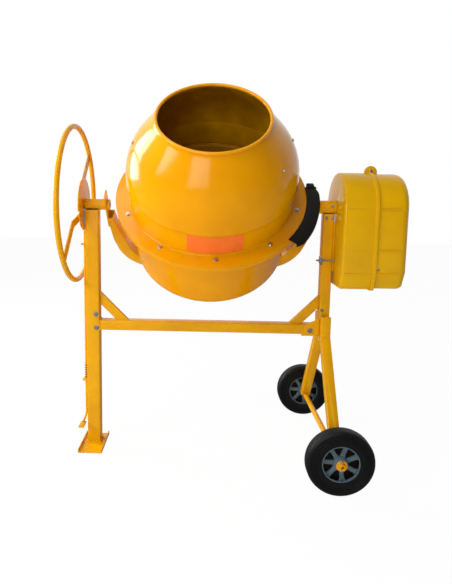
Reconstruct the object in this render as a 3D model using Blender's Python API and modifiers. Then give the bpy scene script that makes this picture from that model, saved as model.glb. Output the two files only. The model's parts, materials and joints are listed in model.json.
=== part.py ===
"""Tipping drum concrete mixer, built piece by piece in metres with +Z up.

The origin lies on the floor under the left post.  +X runs from the handwheel to the motor
housing, and the drum's mouth leans towards -Y.  The drum hangs in a yoke that tilts about a
trunnion axis along X.  Inside the yoke the drum turns on its own spindle, driven through a
belt, a shaft on the trunnion axis and a bevel pinion under the drum's flange.
"""

import math

import bmesh
import bpy
from mathutils import Matrix, Vector

# ---------------------------------------------------------------- driving dimensions (metres)
GAP = 0.0003                    # clearance between pieces that touch

TRUNNION_HEIGHT = 0.834         # tilt axis above the floor
TILT_AT_REST = math.radians(43.1)   # drum axis forward of upright
TILT_STEP = math.radians(24.0)  # one notch of the lock disc

SHEET = 0.0025                  # drum sheet
FLANGE_RADIUS = 0.308           # outer edge of the drum's bolted flange
BOWL_RADIUS = 0.266             # widest part of the upper drum
BAND_RADIUS = 0.263             # upper drum where it meets its flange
SHOULDER_CURVE = 0.200          # radius of the upper drum's shoulder in section
CONE_ANGLE = math.radians(40.0)     # slope of the cone from the drum axis
MOUTH_RADIUS = 0.168            # outside of the rolled mouth
MOUTH_RISE = 0.351              # mouth above the trunnion axis, along the drum axis
PAN_RADIUS = 0.2575             # lower drum
PAN_DEPTH = 0.221               # drum floor below the trunnion axis
PAN_CORNER = 0.050
BLADE_WIDTH = 0.055
BLADE_THICKNESS = 0.004
BLADE_STATIONS = (0.012, 0.095, 0.125, 0.155, 0.185)   # above the flange

RING_TEETH = 95
PINION_TEETH = 10
RING_PITCH_INSET = 0.023        # pitch circle inside the flange edge, mid-face
GEAR_FACE = 0.028               # length of the teeth
RING_BACK = 0.0109              # solid ring behind the teeth
ADDENDUM = 0.0048
DEDENDUM = 0.0068

DRIVE_SHAFT_RADIUS = 0.010
SPINDLE_RADIUS = 0.0125
SPINDLE_FLANGE_RADIUS = 0.050
SPINDLE_FLANGE_THICKNESS = 0.007
SPINDLE_NUT_RADIUS = 0.021
SPINDLE_NUT_LENGTH = 0.016
BEARING_HOUSING_RADIUS = 0.035

YOKE_WIDTH = 0.042              # across the channel's web
YOKE_DEPTH = 0.040              # depth of the channel
YOKE_WALL = 0.004
YOKE_BEND = 0.085               # radius of the yoke's corners, mid-width
YOKE_FLOOR_GAP = 0.050          # drum floor to the yoke
YOKE_FLANGE_GAP = 0.0362        # drum flange to the yoke's end plates
YOKE_PLATE = 0.005
YOKE_PLATE_WIDTH = 0.044
YOKE_PLATE_ABOVE = 0.045
YOKE_PLATE_BELOW = 0.085
YOKE_ARM_START = 0.045          # top of the arms below the trunnion axis

GUARD_WALL = 0.002
GUARD_ABOVE = 0.062             # top of the gear guard above the trunnion axis
GUARD_BELOW = 0.026
GUARD_START = math.radians(-40.0)
GUARD_END = math.radians(12.0)

TRUNNION_RADIUS = 0.0138        # left trunnion
TRUNNION_BORE = 0.009
TRUNNION_COLLAR_RADIUS = 0.017
TRUNNION_COLLAR_LENGTH = 0.008
RIGHT_TRUNNION_RADIUS = 0.017
LEFT_BEARING_RADIUS = 0.0178
LEFT_BEARING_OVERHANG = 0.022   # bearing tube past the left post, towards the drum
RIGHT_BEARING_RADIUS = 0.0215
RIGHT_BEARING_OVERHANG = 0.0155

LEFT_POST_WIDTH = 0.045
RIGHT_POST_WIDTH = 0.034
POST_DEPTH = 0.040
TUBE_WALL = 0.0025
BEAM_CENTRE = 0.425             # height of the cross beam's middle
BEAM_HEIGHT = 0.034
BRACE_WIDTH = 0.030
BRACE_DEPTH = 0.018
BRACE_REACH = 0.098             # beam top to the brace's top corner, and post to its foot
RIGHT_POST_BELOW_BEAM = 0.020
BEAM_BRACKET_THICKNESS = 0.004
BEAM_BRACKET_LENGTH = 0.060

LEG_WIDTH = 0.031
LEG_DEPTH = 0.028
LEG_TOP = 0.475
LEG_KNEE = 0.400                # below this height the legs splay
LEG_SPREAD = 0.232              # legs meet the axle this far from the post's plane
AXLE_RADIUS = 0.009
AXLE_END = 0.014                # axle past the wheel's outer face

WHEEL_RADIUS = 0.100
WHEEL_TRACK = 0.558
TYRE_WIDTH = 0.044
RIM_RADIUS = 0.066
RIM_WIDTH = 0.036
RIM_WALL = 0.006
HUB_RADIUS = 0.022
HUB_WIDTH = 0.048
SPOKES = 7
SPOKE_WIDTH = 0.012
SPOKE_DEPTH = 0.020
WASHER_RADIUS = 0.016
WASHER_THICKNESS = 0.002
SPLIT_PIN_RADIUS = 0.0015
SPLIT_PIN_LENGTH = 0.036

FOOT_WIDTH = 0.082
FOOT_FRONT = 0.092
FOOT_BACK = 0.050
FOOT_PLATE = 0.004
FOOT_LIP = 0.012

DISC_RADIUS = 0.0865
DISC_THICKNESS = 0.004
DISC_CLEARANCE = 0.0045         # disc to the left post
NOTCHES_EACH_WAY = 3
NOTCH_WIDTH = 0.0092
NOTCH_DEPTH = 0.017

HANDWHEEL_RADIUS = 0.252
HANDWHEEL_TUBE = 0.009
HANDWHEEL_OFFSET = 0.018        # rim plane outside the hub bar's middle
BAR_WIDTH = 0.028
BAR_THICKNESS = 0.004
BAR_BEND_RADIUS = 0.094         # bar leaves the rim plane inside this radius
BAR_SEAT_RADIUS = 0.058
HUB_BOLT_RADIUS = 0.006
HUB_BOLT_REACH = 0.020          # bolt inside the trunnion
HUB_HEAD_RADIUS = 0.011
HUB_HEAD_LENGTH = 0.007

ROD_RADIUS = 0.004
ROD_REACH = 0.0012              # rod tip short of the disc when released
ROD_FOOT = 0.095
PEDAL_WIDTH = 0.018
PEDAL_LENGTH = 0.042
PEDAL_THICKNESS = 0.005
GUIDE_HEIGHTS = {"rod_guide_upper": 0.700, "rod_guide_lower": 0.226}
GUIDE_SIZE = 0.022
GUIDE_THICKNESS = 0.006
SPRING_LENGTH = 0.050
SPRING_RADIUS = 0.0052
SPRING_WIRE = 0.0009
SPRING_TURNS = 6
SPRING_STEPS = 10

HOUSING_GAP = 0.007             # right post to the housing
HOUSING_RADIUS = 0.112
HOUSING_WALL = 0.003
HOUSING_SHELL_LENGTH = 0.108
HOUSING_COVER_REACH = 0.096     # cover past the shell
HOUSING_COVER_OVERLAP = 0.010
HOUSING_BELOW_AXIS = 0.257
HOUSING_TAPER_START = 0.200     # below the axis the side walls lean in
HOUSING_TAPER = 0.016
HOUSING_CORNER = 0.014
SHELL_ROUNDING = 0.008          # rounded edge on the drum side
COVER_ROUNDING = 0.026          # rounded edge of the cover
BRACKET_TOP = 0.050             # bracket below the trunnion axis
BRACKET_BOTTOM = 0.210
HOUSING_BRACKET_HALF_WIDTH = 0.016

MOTOR_DROP = 0.170              # motor axis below the trunnion axis
MOTOR_RADIUS = 0.062
MOTOR_LENGTH = 0.074
MOTOR_SHAFT_RADIUS = 0.007
MOTOR_PULLEY_RADIUS = 0.020
PULLEY_CLEARANCE = 0.022        # large pulley to the outside of the housing
PULLEY_WIDTH = 0.022
PULLEY_OFFSET = 0.045           # partition to the pulleys
BELT_THICKNESS = 0.006
BELT_WIDTH = 0.011
BELT_SEAT = 0.0045              # groove depth under the belt
FAN_RADIUS = 0.050
FAN_LENGTH = 0.004
PARTITION = 0.003

SWITCH_SIZE = Vector((0.052, 0.034, 0.090))
SWITCH_DROP = 0.134             # middle of the switch below the trunnion axis
BUTTON_RADIUS = 0.0095
BUTTON_LENGTH = 0.010
BUTTON_PITCH = 0.034
INLET_RADIUS = 0.017
INLET_LENGTH = 0.024

TENSION_BOLT_DROP = 0.174       # below the trunnion axis
TENSION_BOLT_RADIUS = 0.003
WING_NUT_RADIUS = 0.010
WING_NUT_LENGTH = 0.009
WING_SPAN = 0.030

ROUND_STEPS = 40                # facets on the drum and the handwheel
FINE_STEPS = 32
SMALL_STEPS = 20

# ---------------------------------------------------------------- places worked out from them
X_AXIS = Vector((1.0, 0.0, 0.0))
Y_AXIS = Vector((0.0, 1.0, 0.0))
Z_AXIS = Vector((0.0, 0.0, 1.0))
DRUM_AXIS = Vector((0.0, -math.sin(TILT_AT_REST), math.cos(TILT_AT_REST)))
DRUM_ACROSS = DRUM_AXIS.cross(X_AXIS)

RING_PITCH = FLANGE_RADIUS - RING_PITCH_INSET
GEAR_SLOPE = PINION_TEETH / RING_TEETH
RING_OUTER = RING_PITCH + GEAR_FACE / 2
RING_INNER = RING_PITCH - GEAR_FACE / 2
RING_ROOT_RISE = RING_OUTER * GEAR_SLOPE + DEDENDUM * RING_OUTER / RING_PITCH
RING_TOP = RING_ROOT_RISE + RING_BACK
FLANGE_RISE = RING_TOP + 2 * (SHEET + GAP)

YOKE_HALF = FLANGE_RADIUS + YOKE_FLANGE_GAP
YOKE_OUTER_FACE = YOKE_HALF + YOKE_PLATE
GUARD_INNER = math.hypot(YOKE_OUTER_FACE, YOKE_PLATE_WIDTH / 2) + 2 * GAP
GUARD_OUTER = GUARD_INNER + GUARD_WALL
RIGHT_BEARING_START = GUARD_OUTER + 0.001

DRUM_X = YOKE_OUTER_FACE + GAP + LEFT_BEARING_OVERHANG + LEFT_POST_WIDTH / 2
RIGHT_POST_X = DRUM_X + RIGHT_BEARING_START + RIGHT_BEARING_OVERHANG + RIGHT_POST_WIDTH / 2
PIVOT = Vector((DRUM_X, 0.0, TRUNNION_HEIGHT))

LEFT_FACE = LEFT_POST_WIDTH / 2
RIGHT_FACE = RIGHT_POST_WIDTH / 2
BEAM_TOP = BEAM_CENTRE + BEAM_HEIGHT / 2
BEAM_BOTTOM = BEAM_CENTRE - BEAM_HEIGHT / 2
DISC_X = -LEFT_FACE - DISC_CLEARANCE - DISC_THICKNESS
BAR_X = DISC_X - GAP - BAR_THICKNESS
HANDWHEEL_X = BAR_X + BAR_THICKNESS / 2 - HANDWHEEL_OFFSET
ROD_X = DISC_X + DISC_THICKNESS / 2
ROD_TOP = TRUNNION_HEIGHT - DISC_RADIUS - ROD_REACH
SPRING_FOOT = GUIDE_HEIGHTS["rod_guide_lower"] + GUIDE_THICKNESS / 2 + GAP

HOUSING_X = RIGHT_POST_X + RIGHT_FACE + HOUSING_GAP
SHELL_END = HOUSING_X + HOUSING_SHELL_LENGTH
COVER_START = SHELL_END - HOUSING_COVER_OVERLAP
COVER_END = SHELL_END + HOUSING_COVER_REACH
PARTITION_X = COVER_START - GAP - PARTITION
PULLEY_X = PARTITION_X + PARTITION + PULLEY_OFFSET
MOTOR_HEIGHT = TRUNNION_HEIGHT - MOTOR_DROP
LARGE_PULLEY_RADIUS = HOUSING_RADIUS - PULLEY_CLEARANCE
SWITCH_HEIGHT = TRUNNION_HEIGHT - SWITCH_DROP
TENSION_BOLT_HEIGHT = TRUNNION_HEIGHT - TENSION_BOLT_DROP

MODEL = bpy.data.collections.new("concrete_mixer")
CUTTERS = bpy.data.collections.new("cutters")

FINISHES = {
    "frame_enamel": ("#E8A600", 0.30, 0.0),
    "drum_enamel": ("#F0AE00", 0.22, 0.0),
    "drum_inside": ("#6B5A10", 0.60, 0.0),
    "housing_paint": ("#E6AC08", 0.35, 0.0),
    "black_plastic": ("#1C1814", 0.55, 0.0),
    "rim_plastic": ("#6E7D82", 0.50, 0.0),
    "tyre_rubber": ("#101114", 0.75, 0.0),
    "zinc_steel": ("#B9BCBE", 0.35, 1.0),
    "bare_steel": ("#8C8F92", 0.40, 1.0),
    "cast_iron": ("#4A4A4B", 0.60, 1.0),
    "spring_steel": ("#2E2E30", 0.45, 1.0),
    "belt_rubber": ("#17181A", 0.80, 0.0),
    "motor_paint": ("#3C4A55", 0.50, 0.0),
    "green_button": ("#1E8A3C", 0.40, 0.0),
    "red_button": ("#C21E1A", 0.40, 0.0),
}


# ---------------------------------------------------------------- frames
def frame(origin, across, up):
    """A placement whose local x is across, local y is up and local z is their cross product."""
    across = Vector(across).normalized()
    up = Vector(up).normalized()
    out = across.cross(up)
    matrix = Matrix((across, up, out)).transposed().to_4x4()
    matrix.translation = Vector(origin)
    return matrix


def drum_frame():
    """Local z along the drum axis, local x along +X, origin at the trunnion axis."""
    return frame(PIVOT, X_AXIS, DRUM_ACROSS)


def yoke_frame():
    """Local x along +X and local y along the drum axis."""
    return frame(PIVOT, X_AXIS, DRUM_AXIS)


def along_x(x, y=0.0, z=TRUNNION_HEIGHT):
    """Local z along +X, local x along +Y."""
    return frame((x, y, z), Y_AXIS, Z_AXIS)


def along_y(x, y, z):
    """Local z along +Y, local x along +Z."""
    return frame((x, y, z), Z_AXIS, X_AXIS)


def along_z(x, y, z):
    """Local z along +Z, local x along +X."""
    return frame((x, y, z), X_AXIS, Y_AXIS)


# ---------------------------------------------------------------- materials and objects
def linear(channel):
    """One sRGB channel, 0 to 1, as a linear value."""
    if channel <= 0.04045:
        return channel / 12.92
    return ((channel + 0.055) / 1.055) ** 2.4


def dress(obj, finish):
    """Give the object a material of its own in the named finish."""
    colour, roughness, metallic = FINISHES[finish]
    channels = [int(colour[i:i + 2], 16) / 255 for i in (1, 3, 5)]
    material = bpy.data.materials.new(obj.name + "_finish")
    material.use_nodes = True
    shader = material.node_tree.nodes["Principled BSDF"]
    shader.inputs["Base Color"].default_value = [linear(c) for c in channels] + [1.0]
    shader.inputs["Roughness"].default_value = roughness
    shader.inputs["Metallic"].default_value = metallic
    obj.data.materials.clear()
    obj.data.materials.append(material)


def add_object(name, data, matrix, cutter=False):
    """Link a new object at a placement, in the model or among the cutters."""
    obj = bpy.data.objects.new(name, data)
    obj.matrix_world = matrix
    if cutter:
        CUTTERS.objects.link(obj)
        obj.hide_render = True
        obj.display_type = "WIRE"
    else:
        MODEL.objects.link(obj)
    return obj


def mesh_object(name, bm, matrix, cutter=False):
    """Turn a bmesh into an object, with its round faces shaded smooth."""
    mesh = bpy.data.meshes.new(name)
    bmesh.ops.recalc_face_normals(bm, faces=bm.faces)
    bm.to_mesh(mesh)
    bm.free()
    mesh.shade_smooth()
    mesh.set_sharp_from_angle(angle=math.radians(35))
    return add_object(name, mesh, matrix, cutter)


def curve_to_mesh(obj, cutter=False):
    """Replace a curve object by its mesh, with its caps welded."""
    depsgraph = bpy.context.evaluated_depsgraph_get()
    mesh = bpy.data.meshes.new_from_object(obj.evaluated_get(depsgraph))
    bm = bmesh.new()
    bm.from_mesh(mesh)
    bmesh.ops.remove_doubles(bm, verts=bm.verts, dist=1e-6)
    name, matrix = obj.name, obj.matrix_world.copy()
    curve = obj.data
    bpy.data.objects.remove(obj)
    bpy.data.curves.remove(curve)
    bpy.data.meshes.remove(mesh)
    return mesh_object(name, bm, matrix, cutter)


def parent_to(empty, objects):
    """Parent pieces to the empty on their joint's axis without moving them."""
    for obj in objects:
        placed = obj.matrix_world.copy()
        obj.parent = empty
        obj.matrix_parent_inverse = empty.matrix_world.inverted()
        obj.matrix_basis = placed


def joint_empty(name, matrix):
    """An empty whose z axis is the joint's axis."""
    empty = add_object(name, None, matrix)
    empty.empty_display_size = 0.05
    bpy.context.view_layer.update()
    return empty


# ---------------------------------------------------------------- shapes
def box(name, low, high, cutter=False, bevel=0.0):
    """A box between two corners."""
    low, high = Vector(low), Vector(high)
    bm = bmesh.new()
    bmesh.ops.create_cube(bm, size=1.0)
    bmesh.ops.scale(bm, vec=high - low, verts=bm.verts)
    obj = mesh_object(name, bm, Matrix.Translation((low + high) / 2), cutter)
    if bevel:
        add_bevel(obj, bevel)
    return obj


def rod(name, radius, matrix, length, steps=SMALL_STEPS, cutter=False):
    """A cylinder that starts at the placement and runs along its local z."""
    bm = bmesh.new()
    bmesh.ops.create_cone(bm, cap_ends=True, segments=steps, radius1=radius, radius2=radius,
                          depth=length)
    bmesh.ops.translate(bm, vec=(0, 0, length / 2), verts=bm.verts)
    return mesh_object(name, bm, matrix, cutter)


def add_bevel(obj, width, segments=2, angle=40.0):
    """Round the edges that turn by more than the angle."""
    modifier = obj.modifiers.new("rounded_edges", "BEVEL")
    modifier.width = width
    modifier.segments = segments
    modifier.limit_method = "ANGLE"
    modifier.angle_limit = math.radians(angle)


def turned(name, profile, matrix, steps=FINE_STEPS, closed=True, wall=0.0):
    """A turned piece from (radius, height) points about local z.

    A closed profile is a solid ring or, if it starts and ends on the axis, a solid.  An open
    one is a sheet that gets its wall from Solidify, on the side of the axis.
    """
    turn = sum(a[0] * b[1] - b[0] * a[1] for a, b in zip(profile, profile[1:] + profile[:1]))
    points = profile if turn < 0 or not closed else profile[::-1]
    mesh = bpy.data.meshes.new(name)
    count = len(points)
    edges = [(i, i + 1) for i in range(count - 1)]
    if closed and (points[0][0] > 0 or points[-1][0] > 0):
        edges.append((count - 1, 0))
    mesh.from_pydata([(radius, 0.0, height) for radius, height in points], edges, [])
    obj = add_object(name, mesh, matrix)
    screw = obj.modifiers.new("turn", "SCREW")
    screw.axis = "Z"
    screw.angle = 2 * math.pi
    screw.steps = steps
    screw.render_steps = steps
    screw.use_merge_vertices = True
    screw.merge_threshold = 1e-5
    screw.use_smooth_shade = True
    if wall:
        solidify = obj.modifiers.new("sheet", "SOLIDIFY")
        solidify.thickness = wall
        solidify.offset = -1.0
        solidify.use_even_offset = True
    return obj


def ring_profile(inner, outer, low, high):
    """The section of a plain ring."""
    return [(outer, high), (outer, low), (inner, low), (inner, high)]


def plate(name, outlines, thickness, matrix, cutter=False, bevel=0.0):
    """A flat piece from closed outlines; outlines inside the first one are holes.

    The outlines lie in local x and y, and the piece runs from the placement along local z.
    """
    curve = bpy.data.curves.new(name, "CURVE")
    curve.dimensions = "2D"
    curve.fill_mode = "BOTH"
    curve.extrude = thickness / 2
    for outline in outlines:
        spline = curve.splines.new("POLY")
        spline.points.add(len(outline) - 1)
        for point, (x, y) in zip(spline.points, outline):
            point.co = (x, y, 0.0, 1.0)
        spline.use_cyclic_u = True
    obj = add_object(name, curve, matrix @ Matrix.Translation((0, 0, thickness / 2)))
    bpy.context.view_layer.update()
    if cutter:
        MODEL.objects.unlink(obj)
        CUTTERS.objects.link(obj)
    obj = curve_to_mesh(obj, cutter)
    if bevel:
        add_bevel(obj, bevel)
    return obj


def bent_rod(name, points, radius, cyclic=False, resolution=2):
    """A round rod along points, with filled caps."""
    curve = bpy.data.curves.new(name, "CURVE")
    curve.dimensions = "3D"
    curve.bevel_depth = radius
    curve.bevel_resolution = resolution
    curve.use_fill_caps = not cyclic
    spline = curve.splines.new("POLY")
    spline.points.add(len(points) - 1)
    for point, place in zip(spline.points, points):
        point.co = (*place, 1.0)
    spline.use_cyclic_u = cyclic
    obj = add_object(name, curve, Matrix.Identity(4))
    bpy.context.view_layer.update()
    return curve_to_mesh(obj)


def combine(obj, tool, operation):
    """Cut or join with another object, which is kept as a hidden cutter."""
    if tool.name not in CUTTERS.objects:
        MODEL.objects.unlink(tool)
        CUTTERS.objects.link(tool)
        tool.hide_render = True
        tool.display_type = "WIRE"
    modifier = obj.modifiers.new(tool.name, "BOOLEAN")
    modifier.operation = operation
    modifier.solver = "EXACT"
    modifier.object = tool


def cut(obj, tool):
    """Take the tool's shape away from the piece."""
    combine(obj, tool, "DIFFERENCE")


def join(obj, tool):
    """Weld the tool's shape to the piece."""
    combine(obj, tool, "UNION")


def drill(obj, radius, matrix, length, steps=SMALL_STEPS):
    """A round hole that starts at the placement and runs along its local z."""
    cut(obj, rod(f"{obj.name}_hole_{len(obj.modifiers)}", radius, matrix, length, steps, True))


def arc(centre, radius, start, end, steps):
    """Points along an arc, both ends included."""
    points = []
    for i in range(steps + 1):
        angle = start + (end - start) * i / steps
        points.append((centre[0] + radius * math.cos(angle),
                       centre[1] + radius * math.sin(angle)))
    return points


def circle(radius, steps, centre=(0.0, 0.0)):
    """A closed circle's points, without the repeated last one."""
    return arc(centre, radius, 0.0, 2 * math.pi, steps)[:-1]


def rectangle(x0, y0, x1, y1):
    """A closed rectangle's corners."""
    return [(x0, y0), (x1, y0), (x1, y1), (x0, y1)]


# ---------------------------------------------------------------- frame and running gear
def build_foot():
    """Folded foot plate with a lip along each side."""
    half = FOOT_WIDTH / 2
    outline = [(-half, 0), (half, 0), (half, FOOT_LIP), (half - FOOT_PLATE, FOOT_LIP),
               (half - FOOT_PLATE, FOOT_PLATE), (FOOT_PLATE - half, FOOT_PLATE),
               (FOOT_PLATE - half, FOOT_LIP), (-half, FOOT_LIP)]
    foot = plate("foot_plate", [outline], FOOT_FRONT + FOOT_BACK,
                 frame((0, FOOT_BACK, 0), X_AXIS, Z_AXIS))
    dress(foot, "frame_enamel")


def build_posts():
    """The two upright square tubes."""
    half = POST_DEPTH / 2
    lengths = {
        "left_post": (0.0, LEFT_FACE, FOOT_PLATE + GAP,
                      TRUNNION_HEIGHT - LEFT_BEARING_RADIUS - GAP),
        "right_post": (RIGHT_POST_X, RIGHT_FACE, BEAM_BOTTOM - RIGHT_POST_BELOW_BEAM,
                       TRUNNION_HEIGHT - RIGHT_BEARING_RADIUS - GAP),
    }
    for name, (x, face, low, high) in lengths.items():
        outer = rectangle(-face, -half, face, half)
        inner = rectangle(TUBE_WALL - face, TUBE_WALL - half, face - TUBE_WALL, half - TUBE_WALL)
        post = plate(name, [outer, inner], high - low, along_z(x, 0, low))
        dress(post, "frame_enamel")


def build_beam():
    """Cross beam between the posts and the flat bracket on its right end."""
    start = LEFT_FACE + GAP
    length = RIGHT_POST_X - RIGHT_FACE - GAP - start
    half_height, half_depth = BEAM_HEIGHT / 2, POST_DEPTH / 2
    outer = rectangle(-half_depth, -half_height, half_depth, half_height)
    inner = rectangle(TUBE_WALL - half_depth, TUBE_WALL - half_height,
                      half_depth - TUBE_WALL, half_height - TUBE_WALL)
    beam = plate("cross_beam", [outer, inner], length, along_x(start, 0, BEAM_CENTRE))
    dress(beam, "frame_enamel")
    right = RIGHT_POST_X - LEG_WIDTH / 2 - GAP
    left = right - BEAM_BRACKET_LENGTH
    bracket = plate("beam_bracket",
                    [[(left, BEAM_BOTTOM - 0.004), (right, BEAM_BOTTOM - 0.004),
                      (right, BEAM_TOP + 0.022), (left + 0.012, BEAM_TOP)]],
                    BEAM_BRACKET_THICKNESS,
                    frame((0, -half_depth - GAP, 0), X_AXIS, Z_AXIS))
    dress(bracket, "frame_enamel")


def build_braces():
    """Two diagonal braces in the corners between the beam and the posts."""
    corners = {"left_brace": (LEFT_FACE + GAP, 1.0),
               "right_brace": (RIGHT_POST_X - RIGHT_FACE - GAP, -1.0)}
    skew = BRACE_WIDTH * math.sqrt(2)
    base = BEAM_TOP + GAP
    for name, (x, side) in corners.items():
        outline = [(x, base + BRACE_REACH), (x + side * BRACE_REACH, base),
                   (x + side * (BRACE_REACH - skew), base), (x, base + BRACE_REACH - skew)]
        brace = plate(name, [outline], BRACE_DEPTH,
                      frame((0, BRACE_DEPTH / 2, 0), X_AXIS, Z_AXIS))
        dress(brace, "frame_enamel")


def leg_outline(side, inset):
    """One splayed leg in Y and Z; the inset shrinks it to the channel's hollow."""
    face = POST_DEPTH / 2 + GAP
    splay = math.atan2(LEG_SPREAD - face - LEG_DEPTH / 2, LEG_KNEE - WHEEL_RADIUS)
    across = LEG_DEPTH / math.cos(splay)
    shift = inset / math.cos(splay)
    points = [
        (face + inset, LEG_TOP + inset), (face + inset, LEG_KNEE),
        (LEG_SPREAD - across / 2 + shift, WHEEL_RADIUS - inset),
        (LEG_SPREAD + across / 2 - shift, WHEEL_RADIUS - inset),
        (face + LEG_DEPTH - inset, LEG_KNEE + LEG_DEPTH * math.tan(splay / 2)),
        (face + LEG_DEPTH - inset, LEG_TOP + inset),
    ]
    return [(side * y, z) for y, z in points]


def build_legs():
    """Splayed channel legs that carry the axle."""
    for name, side in {"front_leg": -1.0, "rear_leg": 1.0}.items():
        start = RIGHT_POST_X - LEG_WIDTH / 2
        leg = plate(name, [leg_outline(side, 0.0)], LEG_WIDTH, along_x(start, 0, 0))
        hollow = plate(name + "_hollow", [leg_outline(side, TUBE_WALL)], LEG_WIDTH,
                       along_x(start + TUBE_WALL, 0, 0), cutter=True)
        cut(leg, hollow)
        drill(leg, AXLE_RADIUS + GAP, along_y(RIGHT_POST_X, side * LEG_SPREAD - 0.05, WHEEL_RADIUS),
              0.1)
        dress(leg, "frame_enamel")


def build_axle():
    """Round axle through both wheels, with a drilled hole for each split pin."""
    reach = WHEEL_TRACK / 2 + HUB_WIDTH / 2 + AXLE_END
    axle = rod("axle", AXLE_RADIUS, along_y(RIGHT_POST_X, -reach, WHEEL_RADIUS), 2 * reach)
    pin_y = WHEEL_TRACK / 2 + HUB_WIDTH / 2 + GAP * 2 + WASHER_THICKNESS + SPLIT_PIN_RADIUS + GAP
    for side in (-1.0, 1.0):
        drill(axle, SPLIT_PIN_RADIUS + GAP,
              along_z(RIGHT_POST_X, side * pin_y, WHEEL_RADIUS - 0.02), 0.04, steps=10)
    dress(axle, "frame_enamel")
    for name, side in {"front": -1.0, "rear": 1.0}.items():
        pin = rod(name + "_split_pin", SPLIT_PIN_RADIUS,
                  along_z(RIGHT_POST_X, side * pin_y, WHEEL_RADIUS - SPLIT_PIN_LENGTH / 2),
                  SPLIT_PIN_LENGTH, steps=10)
        dress(pin, "zinc_steel")
        inner = min(side * (pin_y - SPLIT_PIN_RADIUS - GAP),
                    side * (pin_y - SPLIT_PIN_RADIUS - GAP - WASHER_THICKNESS))
        washer = turned(name + "_washer",
                        ring_profile(AXLE_RADIUS + GAP, WASHER_RADIUS, 0, WASHER_THICKNESS),
                        along_y(RIGHT_POST_X, inner, WHEEL_RADIUS), SMALL_STEPS)
        dress(washer, "frame_enamel")


def build_wheel(prefix, side):
    """A rubber tyre on a spoked plastic rim, about the axle."""
    centre = along_y(RIGHT_POST_X, side * WHEEL_TRACK / 2, WHEEL_RADIUS)
    half = TYRE_WIDTH / 2
    inner = RIM_RADIUS + GAP
    tread = [(WHEEL_RADIUS - 0.009, half), (WHEEL_RADIUS - 0.003, half - 0.004),
             (WHEEL_RADIUS, half - 0.012), (WHEEL_RADIUS, 0.012 - half),
             (WHEEL_RADIUS - 0.003, 0.004 - half), (WHEEL_RADIUS - 0.009, -half)]
    tyre = turned(prefix + "_tyre", tread + [(inner, -half), (inner, half)], centre, FINE_STEPS)
    dress(tyre, "tyre_rubber")
    rim_half, hub_half = RIM_WIDTH / 2, HUB_WIDTH / 2
    rim = turned(prefix + "_rim",
                 ring_profile(RIM_RADIUS - RIM_WALL, RIM_RADIUS, -rim_half, rim_half),
                 centre, FINE_STEPS)
    hub = turned(prefix + "_hub", ring_profile(AXLE_RADIUS + GAP, HUB_RADIUS, -hub_half, hub_half),
                 centre, FINE_STEPS)
    join(rim, hub)
    reach = RIM_RADIUS - RIM_WALL / 2
    start = HUB_RADIUS - 0.003
    for i in range(SPOKES):
        turn = Matrix.Rotation(2 * math.pi * (i + 0.5) / SPOKES, 4, "Z")
        outline = [(start, -SPOKE_WIDTH * 0.6), (reach, -SPOKE_WIDTH * 0.4),
                   (reach, SPOKE_WIDTH * 0.4), (start, SPOKE_WIDTH * 0.6)]
        spoke = plate(f"{prefix}_spoke_{i}", [outline], SPOKE_DEPTH,
                      centre @ turn @ Matrix.Translation((0, 0, -SPOKE_DEPTH / 2)), cutter=True)
        join(rim, spoke)
    dress(rim, "rim_plastic")
    parent_to(joint_empty(prefix + "_wheel_axis", centre), [tyre, rim])


# ---------------------------------------------------------------- bearings and tension bolt
def build_bearings():
    """Bearing tubes on top of the posts that carry the trunnions."""
    low = -LEFT_FACE
    left = turned("left_bearing_tube",
                  ring_profile(TRUNNION_RADIUS + GAP, LEFT_BEARING_RADIUS, 0,
                               LEFT_FACE + LEFT_BEARING_OVERHANG - low),
                  along_x(low), FINE_STEPS)
    dress(left, "frame_enamel")
    start = DRUM_X + RIGHT_BEARING_START
    end = HOUSING_X - GAP
    right = turned("right_bearing_tube",
                   ring_profile(RIGHT_TRUNNION_RADIUS + GAP, RIGHT_BEARING_RADIUS, 0, end - start),
                   along_x(start), FINE_STEPS)
    dress(right, "frame_enamel")


def build_tension_bolt():
    """Belt tension bolt in front of the right post, with its wing nut."""
    y = -(POST_DEPTH / 2 + GAP + TENSION_BOLT_RADIUS)
    nut_end = RIGHT_POST_X - RIGHT_FACE - GAP
    start = nut_end - WING_NUT_LENGTH - 0.010
    bolt = rod("tension_bolt", TENSION_BOLT_RADIUS, along_x(start, y, TENSION_BOLT_HEIGHT),
               HOUSING_X - GAP - start, steps=12)
    dress(bolt, "zinc_steel")
    place = along_x(nut_end - WING_NUT_LENGTH, y, TENSION_BOLT_HEIGHT)
    nut = turned("wing_nut", ring_profile(TENSION_BOLT_RADIUS + GAP, WING_NUT_RADIUS, 0,
                                          WING_NUT_LENGTH), place, SMALL_STEPS)
    for side in (-1.0, 1.0):
        inner, outer = side * WING_NUT_RADIUS * 0.7, side * WING_SPAN / 2
        wing = plate(f"wing_{side:+.0f}", [rectangle(min(inner, outer), -0.0015,
                                                     max(inner, outer), 0.0015)],
                     WING_NUT_LENGTH * 0.8, place @ Matrix.Rotation(math.radians(60), 4, "Z"),
                     cutter=True)
        join(nut, wing)
    dress(nut, "zinc_steel")


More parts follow.
